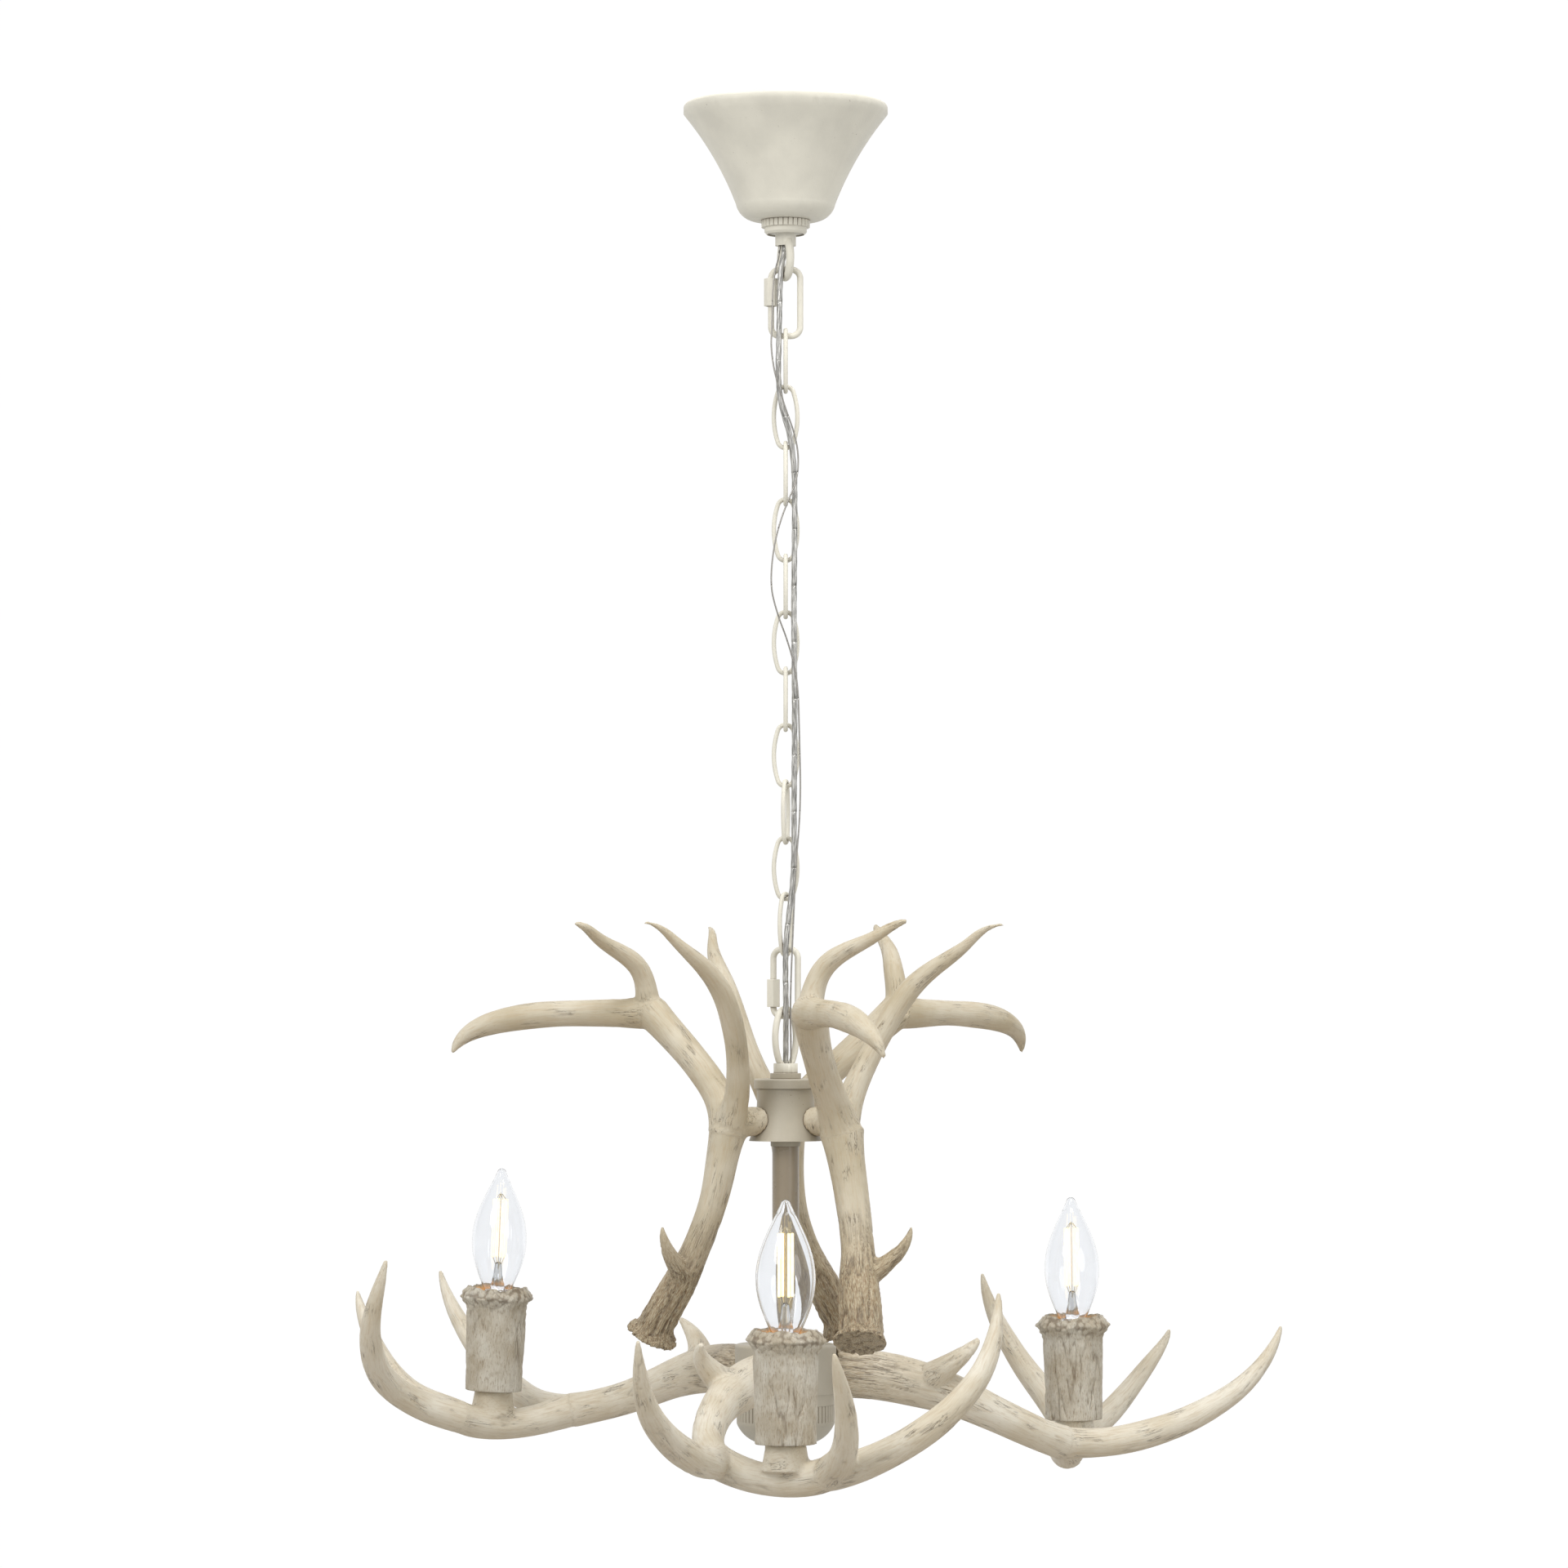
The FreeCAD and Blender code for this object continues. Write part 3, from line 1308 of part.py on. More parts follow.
def bulb_filaments(side):
    """The glass stem with its collar, and four upright filament sticks up to a ring."""
    stem, tall = size("glass_stem_radius"), size("glass_stem_height")
    plate, sink = size("filament_plate"), size("filament_plate") / 2
    rim = size("filament_ring") + size("filament_radius") * 1.5
    top = tall + size("filament_length")
    spine = size("filament_radius") * 0.5
    body = turned(f"bulb_filaments_{side}", [
        (0, 0), (stem, 0), (stem * 0.55, tall * 0.6), (stem * 0.4, tall - plate),
        (rim, tall - plate), (rim, tall), (spine, tall), (spine, top), (rim, top),
        (rim, top + plate), (0, top + plate)])
    stick = new_sketch(body, f"stick_{side}", "XY_Plane")
    draw_circle(stick, size("filament_ring"), 0, size("filament_radius"))
    stick.setExpression("AttachmentOffset.Base.z", (tall - sink).text)
    doc.recompute()
    rod = body.newObject("PartDesign::Pad", f"stick_pad_{side}")
    rod.Profile = stick
    rod.setExpression("Length", (size("filament_length") + plate).text)
    doc.recompute()
    repeat_round(body, rod, 4)
    body.Placement = raised(side, glass_foot() + val("glass_seat"))
    keep(body)


# ---------------------------------------------------------------------------------------
# Cords
# ---------------------------------------------------------------------------------------
# Points down the supply cable, from the connectors in the canopy to the tie pipe.
CABLE_ROUTE = [
    (0.5, -17, -27.8), (0.5, -16.6, -8), (0.5, 0.2, -8), (0.5, 0.2, -87), (-3.4, -5.0, -101),
    (-3.9, -5.0, -138), (-5.0, -4.6, -178), (5.4, -4.5, -210), (5.6, -4.9, -262),
    (4.9, -4.5, -316), (5.7, -4.8, -372), (5.1, -4.5, -424), (5.3, -5.0, -470),
    (1.4, -6.5, -500), (-0.3, -6.9, -520), (0.3, -6.0, -555), (0, 0, -578), (0, 0, -770)]
# Points along the bare ground wire, from the ground screw to the hub loop's block.
GROUND_ROUTE = [
    (-10.0, 0.3, -21), (-9.4, 0.2, -12), (-2.4, -0.3, -11), (-2.4, -0.3, -87.5),
    (-7.8, -6.2, -106), (-8.2, -7.4, -136), (-9.2, -7.8, -150), (-5.4, -9.4, -172),
    (12.0, -8.8, -220), (-5.0, -8.6, -257), (-10.0, -8.0, -292), (-5.2, -8.6, -312),
    (1.5, -9.2, -329), (7.5, -9.4, -352), (8.4, -8.8, -386), (9.4, -8.4, -428),
    (6.0, -8.8, -468), (4.8, -9.0, -500), (3.4, -9.2, -530), (2.8, -8.6, -556),
    (3.3, -5.0, -574), (3.2, -3.4, -586.4)]
ARC_SHARE = 0.45


def cord_wire(points):
    """Straight runs joined by tangent arcs, each as large as its two runs allow."""
    points = [V(*point) for point in points]
    edges, radii = [], []
    start = points[0]
    for before, corner, after in zip(points, points[1:], points[2:]):
        way_in, way_out = (corner - before).normalize(), (after - corner).normalize()
        half_turn = way_in.getAngle(way_out) / 2
        reach = ARC_SHARE * min((corner - before).Length, (after - corner).Length)
        radii.append(reach / math.tan(half_turn))
        arc_start, arc_end = corner - way_in * reach, corner + way_out * reach
        inward = (way_out - way_in).normalize()
        centre = corner + inward * (radii[-1] / math.cos(half_turn))
        middle = centre - inward * radii[-1]
        edges.append(Part.makeLine(start, arc_start))
        edges.append(Part.Arc(arc_start, middle, arc_end).toShape())
        start = arc_end
    edges.append(Part.makeLine(start, points[-1]))
    return Part.Wire(edges), radii


def cord_tube(points, diameter):
    path, _ = cord_wire(points)
    first = path.Edges[0]
    along = first.tangentAt(first.FirstParameter)
    section = Part.Wire(Part.makeCircle(diameter / 2, first.valueAt(first.FirstParameter), along))
    return path.makePipeShell([section], True, False)


def report_cord(label, points, diameter, tube):
    path, radii = cord_wire(points)
    plain = math.pi * diameter ** 2 / 4 * path.Length
    print(f"{label}: length {path.Length:.1f}, tightest radius {min(radii):.1f}, "
          f"volume {tube.Volume:.1f} against {plain:.1f}")


def cord(label, points, diameter):
    tube = cord_tube(points, diameter)
    report_cord(label, points, diameter, tube)
    solid_piece(label, tube)


def supply_cable():
    cord("supply_cable", CABLE_ROUTE, val("cable_diameter"))


def ground_wire():
    cord("ground_wire", GROUND_ROUTE, val("ground_diameter"))


def wire_connectors():
    """Two closed-end connectors side by side on the cable's end inside the canopy."""
    end = V(*CABLE_ROUTE[0])
    radius, tall = val("connector_diameter") / 2, val("connector_length")
    connectors = []
    for side in (-1, 1):
        cone = Part.makeCone(radius, radius * 0.6, tall, end + V(side * (radius + 0.1), 0, -0.3),
                             V(0, 0, -1))
        connectors.append(cone)
    solid_piece("wire_connectors", Part.makeCompound(connectors))


SPLICE_RADIUS = 4.0
SPLICE_HEIGHT = 12.0
SPLICE_DROP = 9.3
LEAD_TURNS = {"right": (0.0, 0.0), "left": (-24.0, -32.0), "front": (24.0, 32.0)}
LEAD_IN_ARM = [(45, -26, -5), (69, -37, -12), (94, -43, -22), (121, -44, -32), (147, -38, -39),
               (164, -21, -45.5)]
LEAD_UP_LAMP = [(0, 0, -20), (0, 0, 2)]


def lead_points(side):
    """A lamp lead: splice, hollow bolt, down the arm, and up into the lampholder's foot."""
    level = LOWER_SEAT.value
    toward = AZIMUTH[side] + val("arm_seat_turn")
    window = AZIMUTH["right"] + val("arm_seat_turn") + (0.0 if side == "right" else 180.0)

    def polar(radius, angle):
        return FreeCAD.Rotation(UP, angle).multVec(V(radius, 0, 0)) + V(0, 0, level)

    start_turn, bend_turn = LEAD_TURNS[side]
    points = [polar(SPLICE_RADIUS, window + start_turn), polar(15.0, window + bend_turn),
              polar(24.0, toward), polar(52.0, toward)]
    if side == "right":
        points = [polar(SPLICE_RADIUS, toward), polar(20.0, toward) - V(0, 0, 0.6),
                  polar(36.0, toward) - V(0, 0, 0.6), polar(52.0, toward)]
    points += [arm_frame(side).multVec(V(*point)) for point in LEAD_IN_ARM]
    points += [lamp_frame(side).multVec(V(*point)) for point in LEAD_UP_LAMP]
    return [tuple(point) for point in points]


def lamp_leads():
    """The splice in the hickey's window and the three leads that go out to the lamps."""
    diameter = val("lead_diameter")
    splice = Part.makeCylinder(SPLICE_RADIUS, SPLICE_HEIGHT,
                               V(0, 0, HICKEY_TOP.value - SPLICE_DROP - SPLICE_HEIGHT))
    members = [splice]
    for side in AZIMUTH:
        tube = cord_tube(lead_points(side), diameter)
        report_cord(f"lead_{side}", lead_points(side), diameter, tube)
        members.append(tube.cut(splice))
    solid_piece("lamp_leads", Part.makeCompound(members))


# ---------------------------------------------------------------------------------------
# The whole fitting
# ---------------------------------------------------------------------------------------
mounting_bar()
ground_screw()
threaded_nipple()
nipple_nuts()
wire_connectors()
canopy()
canopy_ring()
canopy_loop()
quick_link("quick_link_top", QUICK_CENTRE, 0.0, False)
quick_sleeve("quick_link_top_sleeve", QUICK_CENTRE, 0.0, False)
for link_number, link_centre in enumerate(link_centres, start=1):
    chain_link(link_number, link_centre)
quick_link("quick_link_bottom", LOW_QUICK_CENTRE, val("quick_turn"), True)
quick_sleeve("quick_link_bottom_sleeve", LOW_QUICK_CENTRE, val("quick_turn"), True)
hub_loop()
hub_washer()
hub_lid()
upper_hub()
stem_collar()
stem_tube()
tie_pipe()
hickey()
lower_hub()
reeded_cup()
finial()
upper_antlers()
antler_screws()
lower_antlers()
arm_bolts()
socket_pipes()
lampholders()
lamp_contacts()
for lamp_side in AZIMUTH:
    candle_cup(lamp_side)
    bulb_base(lamp_side)
    bulb_glass(lamp_side)
    bulb_filaments(lamp_side)
supply_cable()
ground_wire()
lamp_leads()

doc.recompute()
for item in doc.Objects:
    if "Invalid" in item.State or "Error" in item.State:
        raise RuntimeError(f"{item.Label} failed: {item.State}")
for piece in pieces:
    if piece.Shape.isNull() or not piece.Shape.isValid():
        raise RuntimeError(f"{piece.Label} has no valid shape")
for piece in pieces:
    piece.Shape.exportStep(f"parts/{piece.Label}.step")
print(f"{len(pieces)} pieces written")
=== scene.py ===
"""Looks of the antler chandelier: finishes, carved antlers, bark cups, bulbs and cables."""

import json
import math

import bpy
import numpy as np
from mathutils import Matrix, Vector, noise


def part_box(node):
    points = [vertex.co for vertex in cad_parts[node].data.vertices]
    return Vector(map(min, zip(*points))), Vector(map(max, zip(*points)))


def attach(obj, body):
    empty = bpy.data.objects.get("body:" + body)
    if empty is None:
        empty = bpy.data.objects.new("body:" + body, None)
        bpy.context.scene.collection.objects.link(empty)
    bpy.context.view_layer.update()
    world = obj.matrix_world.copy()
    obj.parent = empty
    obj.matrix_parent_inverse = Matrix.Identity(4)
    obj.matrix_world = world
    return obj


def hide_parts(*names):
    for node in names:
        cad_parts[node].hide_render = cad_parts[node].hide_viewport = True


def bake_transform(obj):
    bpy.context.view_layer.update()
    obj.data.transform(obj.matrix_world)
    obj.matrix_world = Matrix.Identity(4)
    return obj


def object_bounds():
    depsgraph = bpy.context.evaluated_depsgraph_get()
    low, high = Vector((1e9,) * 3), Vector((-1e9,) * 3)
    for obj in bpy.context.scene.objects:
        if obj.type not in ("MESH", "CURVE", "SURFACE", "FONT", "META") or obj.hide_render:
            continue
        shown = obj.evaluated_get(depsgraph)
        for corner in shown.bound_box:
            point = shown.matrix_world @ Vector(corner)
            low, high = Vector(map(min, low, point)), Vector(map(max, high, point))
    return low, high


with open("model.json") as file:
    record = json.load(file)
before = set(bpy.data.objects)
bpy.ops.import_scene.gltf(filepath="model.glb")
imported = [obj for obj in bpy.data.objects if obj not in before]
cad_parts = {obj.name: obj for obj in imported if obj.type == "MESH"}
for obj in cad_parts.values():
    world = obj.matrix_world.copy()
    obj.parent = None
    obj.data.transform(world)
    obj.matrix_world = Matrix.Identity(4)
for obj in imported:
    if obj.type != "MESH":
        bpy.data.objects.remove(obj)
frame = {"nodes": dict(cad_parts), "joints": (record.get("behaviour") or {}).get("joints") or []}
CAD_LOW, CAD_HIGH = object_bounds()
NODES = frame["nodes"]
JOINTS = {joint["name"]: joint for joint in frame["joints"]}
MM = 0.001
SIDES = ("front", "left", "right")
LINKS = 11


# --------------------------------------------------------------------------------------
# Camera, light and stage
# --------------------------------------------------------------------------------------
PHOTO_WIDTH = 1920
EYE = Vector((0, -3.344, -0.548))
FOCAL_PIXELS = 6690
HORIZON_ROW = 1225
AXIS_COLUMN = 962
SENSOR_WIDTH = 36
CLIP_END = 50
WORLD_STRENGTH = 0.68
BACKDROP_DISTANCE = 9.0
FLOOR_DROP = 2.0
BEND_RADIUS = 0.3
STAGE_HALF_WIDTH = 14.0
BACKDROP_TOP = 9.0
BACKDROP_RADIANCE = 1.0


def add_camera():
    camera = bpy.data.cameras.new("camera")
    camera.sensor_width = SENSOR_WIDTH
    camera.lens = FOCAL_PIXELS / PHOTO_WIDTH * camera.sensor_width
    camera.shift_x = (PHOTO_WIDTH / 2 - AXIS_COLUMN) / PHOTO_WIDTH
    camera.shift_y = (HORIZON_ROW - PHOTO_WIDTH / 2) / PHOTO_WIDTH
    camera.clip_end = CLIP_END
    holder = bpy.data.objects.new("camera", camera)
    holder.location = EYE
    holder.rotation_euler = (math.pi / 2, 0, 0)
    bpy.context.scene.collection.objects.link(holder)
    bpy.context.scene.camera = holder


def area_light(name, place, target, size, power, colour=(1, 1, 1)):
    light = bpy.data.lights.new(name, "AREA")
    light.shape = "DISK"
    light.size = size
    light.energy = power
    light.color = colour
    holder = bpy.data.objects.new(name, light)
    holder.location = place
    holder.rotation_euler = (Vector(target) - Vector(place)).to_track_quat("-Z", "Y").to_euler()
    bpy.context.scene.collection.objects.link(holder)


def add_lights():
    middle = (0, 0, -0.5)
    area_light("key", (-1.6, -2.2, 0.9), middle, 1.6, 33)
    area_light("fill", (2.0, -2.0, -0.2), middle, 1.6, 12)
    area_light("top", (0.3, -0.6, 1.2), middle, 1.0, 18)
    world = bpy.data.worlds.new("studio")
    world.use_nodes = True
    world.node_tree.nodes["Background"].inputs["Color"].default_value = (1, 1, 1, 1)
    world.node_tree.nodes["Background"].inputs["Strength"].default_value = WORLD_STRENGTH
    bpy.context.scene.world = world
    bpy.context.scene.view_settings.view_transform = "Standard"


def add_sheet(name, profile, material):
    """A wide sheet whose side view is the profile, a list of (y, z)."""
    points = [(side * STAGE_HALF_WIDTH, y, z) for y, z in profile for side in (-1, 1)]
    faces = [(i, i + 1, i + 3, i + 2) for i in range(0, len(points) - 2, 2)]
    sheet = add_mesh(name, points, faces)
    sheet.data.materials.append(material)


def add_stage():
    """A pale floor that meets a lit white backdrop in a wide bend below the picture."""
    level = CAD_LOW.z - FLOOR_DROP
    wall = BACKDROP_DISTANCE
    bend = [(wall - BEND_RADIUS * (1 - math.sin(turn)), level + BEND_RADIUS * (1 - math.cos(turn)))
            for turn in np.linspace(0, math.pi / 2, 13)]
    pale, _ = new_material("stage_floor", (0.72, 0.72, 0.71), 0.9)
    lit, shader = new_material("stage_backdrop", (0.02, 0.02, 0.02), 1.0)
    shader.inputs["Specular IOR Level"].default_value = 0.0
    shader.inputs["Emission Color"].default_value = (1, 1, 1, 1)
    shader.inputs["Emission Strength"].default_value = BACKDROP_RADIANCE
    add_sheet("stage_floor", [(-STAGE_HALF_WIDTH, level)] + bend[:7], pale)
    add_sheet("stage_backdrop", bend[6:] + [(wall, BACKDROP_TOP)], lit)


# --------------------------------------------------------------------------------------
# Materials
# --------------------------------------------------------------------------------------
def new_material(name, colour, roughness, metallic=0.0):
    material = bpy.data.materials.new(name)
    material.use_nodes = True
    shader = material.node_tree.nodes["Principled BSDF"]
    shader.inputs["Base Color"].default_value = (*colour, 1)
    shader.inputs["Roughness"].default_value = roughness
    shader.inputs["Metallic"].default_value = metallic
    return material, shader


class Graph:
    """Short names for the node calls that the materials share."""

    def __init__(self, material):
        self.tree = material.node_tree

    def node(self, kind, **settings):
        made = self.tree.nodes.new(kind)
        for name, value in settings.items():
            setattr(made, name, value)
        return made

    def link(self, start, end):
        self.tree.links.new(start, end)

    def object_place(self):
        return self.node("ShaderNodeTexCoord").outputs["Object"]

    def attribute(self, name, output):
        return self.node("ShaderNodeAttribute", attribute_name=name).outputs[output]

    def noise(self, place, scale, detail=3.0, roughness=0.55, distortion=0.0):
        made = self.node("ShaderNodeTexNoise")
        self.link(place, made.inputs["Vector"])
        made.inputs["Scale"].default_value = scale
        made.inputs["Detail"].default_value = detail
        made.inputs["Roughness"].default_value = roughness
        made.inputs["Distortion"].default_value = distortion
        return made.outputs["Fac"]

    def stretch(self, place, scale):
        made = self.node("ShaderNodeMapping")
        self.link(place, made.inputs["Vector"])
        made.inputs["Scale"].default_value = scale
        return made.outputs["Vector"]

    def ramp(self, value, stops):
        made = self.node("ShaderNodeValToRGB")
        self.link(value, made.inputs["Fac"])
        bar = made.color_ramp.elements
        while len(bar) < len(stops):
            bar.new(0.5)
        for element, (place, colour) in zip(bar, stops):
            element.position = place
            element.color = (*colour, 1) if isinstance(colour, tuple) else (colour,) * 3 + (1,)
        return made.outputs["Color"]

    def mix(self, factor, first, second):
        made = self.node("ShaderNodeMix", data_type="RGBA")
        self.socket(factor, made.inputs["Factor"])
        self.socket(first, made.inputs["A"])
        self.socket(second, made.inputs["B"])
        return made.outputs["Result"]

    def math(self, operation, first, second):
        made = self.node("ShaderNodeMath", operation=operation)
        self.socket(first, made.inputs[0])
        self.socket(second, made.inputs[1])
        return made.outputs["Value"]

    def socket(self, value, target):
        if isinstance(value, bpy.types.NodeSocket):
            self.link(value, target)
        elif isinstance(value, tuple):
            target.default_value = (*value, 1)
        else:
            target.default_value = value

    def bump(self, height, strength, distance):
        made = self.node("ShaderNodeBump")
        self.link(height, made.inputs["Height"])
        made.inputs["Strength"].default_value = strength
        made.inputs["Distance"].default_value = distance
        return made.outputs["Normal"]


def painted_metal(name, colour, worn, roughness=0.5):
    """Sprayed cream paint: soft mottling, fine orange peel, small rubbed brown specks, and painted
    shade in the worn colour, from ambient occlusion, in crevices and between parts.
    """
    material, shader = new_material(name, colour, roughness)
    graph = Graph(material)
    place = graph.object_place()
    cloud = graph.ramp(graph.noise(place, 38, 4), [(0.3, 0.0), (0.75, 1.0)])
    shade = tuple(part * 0.86 for part in colour)
    paint = graph.mix(cloud, shade, colour)
    specks = graph.ramp(graph.noise(place, 620, 2, 0.7), [(0.70, 0.0), (0.76, 1.0)])
    patches = graph.ramp(graph.noise(place, 55, 3), [(0.52, 0.0), (0.64, 1.0)])
    rubbed = graph.math("MULTIPLY", specks, patches)
    # Painted shade: ambient occlusion darkens crevices, grooves and the gaps between parts toward
    # the worn colour.
    shelter = graph.node("ShaderNodeAmbientOcclusion", samples=6)
    shelter.inputs["Distance"].default_value = 0.0018
    painted_crevice_shade = graph.ramp(shelter.outputs["AO"], [(0.25, 0.85), (0.62, 0.0)])
    # One mask carries both the real rubbed specks and the painted crevice shade; the worn colour
    # paints both.
    wear_and_crevice_shade = graph.math("MAXIMUM", rubbed, painted_crevice_shade)
    graph.link(graph.mix(wear_and_crevice_shade, paint, worn), shader.inputs["Base Color"])
    graph.link(graph.ramp(cloud, [(0.0, roughness - 0.06), (1.0, roughness + 0.08)]),
               shader.inputs["Roughness"])
    graph.link(graph.bump(graph.noise(place, 900, 2), 0.12, 0.0004), shader.inputs["Normal"])
    return material


def bare_metal(name, colour, roughness, grain=500):
    material, shader = new_material(name, colour, roughness, 1.0)
    graph = Graph(material)
    place = graph.object_place()
    cloud = graph.noise(place, grain, 3)
    graph.link(graph.ramp(cloud, [(0.3, roughness - 0.08), (0.7, roughness + 0.12)]),
               shader.inputs["Roughness"])
    dull = tuple(part * 0.8 for part in colour)
    graph.link(graph.mix(graph.ramp(cloud, [(0.35, 0.0), (0.7, 1.0)]), dull, colour),
               shader.inputs["Base Color"])
    return material


def moulded_plastic(name, colour, roughness=0.4):
    material, shader = new_material(name, colour, roughness)
    graph = Graph(material)
    cloud = graph.noise(graph.object_place(), 120, 3)
    graph.link(graph.mix(cloud, tuple(part * 0.93 for part in colour), colour),
               shader.inputs["Base Color"])
    graph.link(graph.bump(graph.noise(graph.object_place(), 1500, 2), 0.06, 0.0002),
               shader.inputs["Normal"])
    return material


IVORY = (0.60, 0.53, 0.40)
PALE_IVORY = (0.73, 0.68, 0.57)
TAN = (0.46, 0.34, 0.20)
DARK_BROWN = (0.075, 0.045, 0.025)
GREY_IVORY = (0.58, 0.54, 0.45)
# Painted light: the warm glow put on the cups' inner lining.
WARM_GLOW = (0.85, 0.42, 0.12)


def antler_material(name, pale, mid, stained):
    """Cast antler: ivory, fine creases in patches and stained bases, with painted shade in tan on
    the faces that look down.

    The attribute "grain" runs along each tine, in mm; "stain" and "crease" are 0 to 1.
    """
    material, shader = new_material(name, mid, 0.55)
    graph = Graph(material)
    grain = graph.attribute("grain", "Vector")
    stain = graph.attribute("stain", "Fac")
    crease = graph.attribute("crease", "Fac")
    cloud = graph.ramp(graph.noise(graph.object_place(), 26, 4), [(0.36, 0.0), (0.64, 1.0)])
    base = graph.mix(cloud, mid, pale)
    # Painted shade: faces that look down are mixed toward tan, darker the more they face the
    # floor.
    facing = graph.node("ShaderNodeSeparateXYZ")
    graph.link(graph.node("ShaderNodeNewGeometry").outputs["Normal"], facing.inputs[0])
    under = graph.math("MULTIPLY", graph.math("MINIMUM", facing.outputs["Z"], 0.0), -0.55)
    base = graph.mix(under, base, TAN)
    streaks = graph.noise(graph.stretch(grain, (1, 1, 0.07)), 0.9, 5, 0.62, 0.3)
    base = graph.mix(graph.ramp(streaks, [(0.34, 0.42), (0.52, 0.0)]), base, TAN)
    fine = graph.noise(graph.stretch(grain, (1, 1, 0.16)), 1.9, 4, 0.65)
    bark = graph.mix(graph.ramp(fine, [(0.40, 0.0), (0.60, 1.0)]), stained, mid)
    reach = graph.math("ADD", graph.math("MULTIPLY", stain, 1.25),
                       graph.math("SUBTRACT", streaks, 0.62))
    base = graph.mix(graph.ramp(reach, [(0.15, 0.0), (0.75, 0.95)]), base, bark)
    band = graph.noise(graph.stretch(grain, (1, 1, 0.05)), 0.55, 5, 0.6, 0.6)
    ridge = graph.math("ABSOLUTE", graph.math("SUBTRACT", band, 0.5), 0.0)
    thin = graph.ramp(ridge, [(0.006, 1.0), (0.026, 0.0)])
    patch = graph.noise(graph.stretch(grain, (1, 1, 0.4)), 0.11, 3, 0.5)
    worn = graph.math("ADD", patch, graph.math("MULTIPLY", stain, 0.20))
    lines = graph.math("MULTIPLY", thin, graph.ramp(worn, [(0.54, 0.0), (0.64, 0.7)]))
    dark = graph.math("MAXIMUM", lines, crease)
    graph.link(graph.mix(dark, base, DARK_BROWN), shader.inputs["Base Color"])
    height = graph.math("SUBTRACT", graph.math("MULTIPLY", streaks, 0.5),
                        graph.math("MULTIPLY", dark, 0.6))
    height = graph.math("ADD", height, graph.math("MULTIPLY", fine, 0.2))
    graph.link(graph.bump(height, 0.5, 0.001), shader.inputs["Normal"])
    graph.link(graph.ramp(streaks, [(0.3, 0.66), (0.7, 0.44)]), shader.inputs["Roughness"])
    return material


def bark_material(name):
    """The cup's bark: grey ivory with brown in every groove of the attribute "crease", and a
    painted warm glow, in its colour and as emission, on the inner lining.
    """
    material, shader = new_material(name, GREY_IVORY, 0.75)
    graph = Graph(material)
    grain = graph.attribute("grain", "Vector")
    crease = graph.attribute("crease", "Fac")
    cloud = graph.ramp(graph.noise(graph.object_place(), 60, 4), [(0.35, 0.0), (0.65, 1.0)])
    base = graph.mix(cloud, (0.47, 0.41, 0.31), (0.63, 0.59, 0.50))
    fine = graph.noise(graph.stretch(grain, (1, 1, 0.22)), 1.3, 5, 0.7)
    base = graph.mix(graph.ramp(fine, [(0.34, 0.7), (0.50, 0.0)]), base, (0.27, 0.19, 0.11))
    # Painted light: the attribute inside marks the lining, which is tinted warm and made to glow
    # as if lit by the bulb.
    inside = graph.attribute("inside", "Fac")
    base = graph.mix(graph.math("MULTIPLY", inside, 0.8), base, WARM_GLOW)
    graph.link(graph.mix(inside, (0, 0, 0), WARM_GLOW), shader.inputs["Emission Color"])
    shader.inputs["Emission Strength"].default_value = 0.3
    dark = graph.ramp(crease, [(0.45, 0.0), (1.0, 0.85)])
    graph.link(graph.mix(dark, base, (0.13, 0.085, 0.045)), shader.inputs["Base Color"])
    graph.link(graph.bump(fine, 0.7, 0.0012), shader.inputs["Normal"])
    return material


def clear_glass(name):
    material, shader = new_material(name, (0.955, 0.965, 0.98), 0.0)
    shader.inputs["Transmission Weight"].default_value = 1.0
    shader.inputs["IOR"].default_value = 1.46
    graph = Graph(material)
    haze = graph.ramp(graph.noise(graph.object_place(), 45, 2), [(0.4, 0.0), (0.8, 0.03)])
    graph.link(haze, shader.inputs["Roughness"])
    return material


def glowing(name, colour, strength):
    material, shader = new_material(name, colour, 0.4)
    graph = Graph(material)
    patch = graph.noise(graph.object_place(), 300, 2)
    graph.link(graph.mix(patch, colour, (1.0, 0.90, 0.55)), shader.inputs["Emission Color"])
    shader.inputs["Emission Strength"].default_value = strength
    return material


def cable_material(name):
    """Clear sheath over tinned strands: bright streaks along the cord."""
    material, shader = new_material(name, (0.5, 0.49, 0.46), 0.3)
    shader.inputs["Metallic"].default_value = 0.35
    shader.inputs["Coat Weight"].default_value = 0.5
    shader.inputs["Coat Roughness"].default_value = 0.08
    graph = Graph(material)
    grain = graph.attribute("grain", "Vector")
    streaks = graph.noise(graph.stretch(grain, (1, 1, 0.12)), 1.1, 3)
    graph.link(graph.ramp(streaks, [(0.38, (0.20, 0.195, 0.18)), (0.62, (0.60, 0.59, 0.56))]),
               shader.inputs["Base Color"])
    return material


# --------------------------------------------------------------------------------------
# Meshes
# --------------------------------------------------------------------------------------
def add_mesh(name, points, faces):
    mesh = bpy.data.meshes.new(name)
    mesh.from_pydata([tuple(point) for point in points], [], faces)
    mesh.polygons.foreach_set("use_smooth", [True] * len(mesh.polygons))
    piece = bpy.data.objects.new(name, mesh)
    bpy.context.scene.collection.objects.link(piece)
    return piece


def ring_faces(rings, steps, closed=False):
    """Quads between neighbouring rings; closed joins the last ring to the first."""
    faces = []
    for ring in range(rings if closed else rings - 1):
        above = (ring + 1) % rings
        for step in range(steps):
            after = (step + 1) % steps
            faces.append((ring * steps + step, ring * steps + after, above * steps + after,
                          above * steps + step))
    return faces


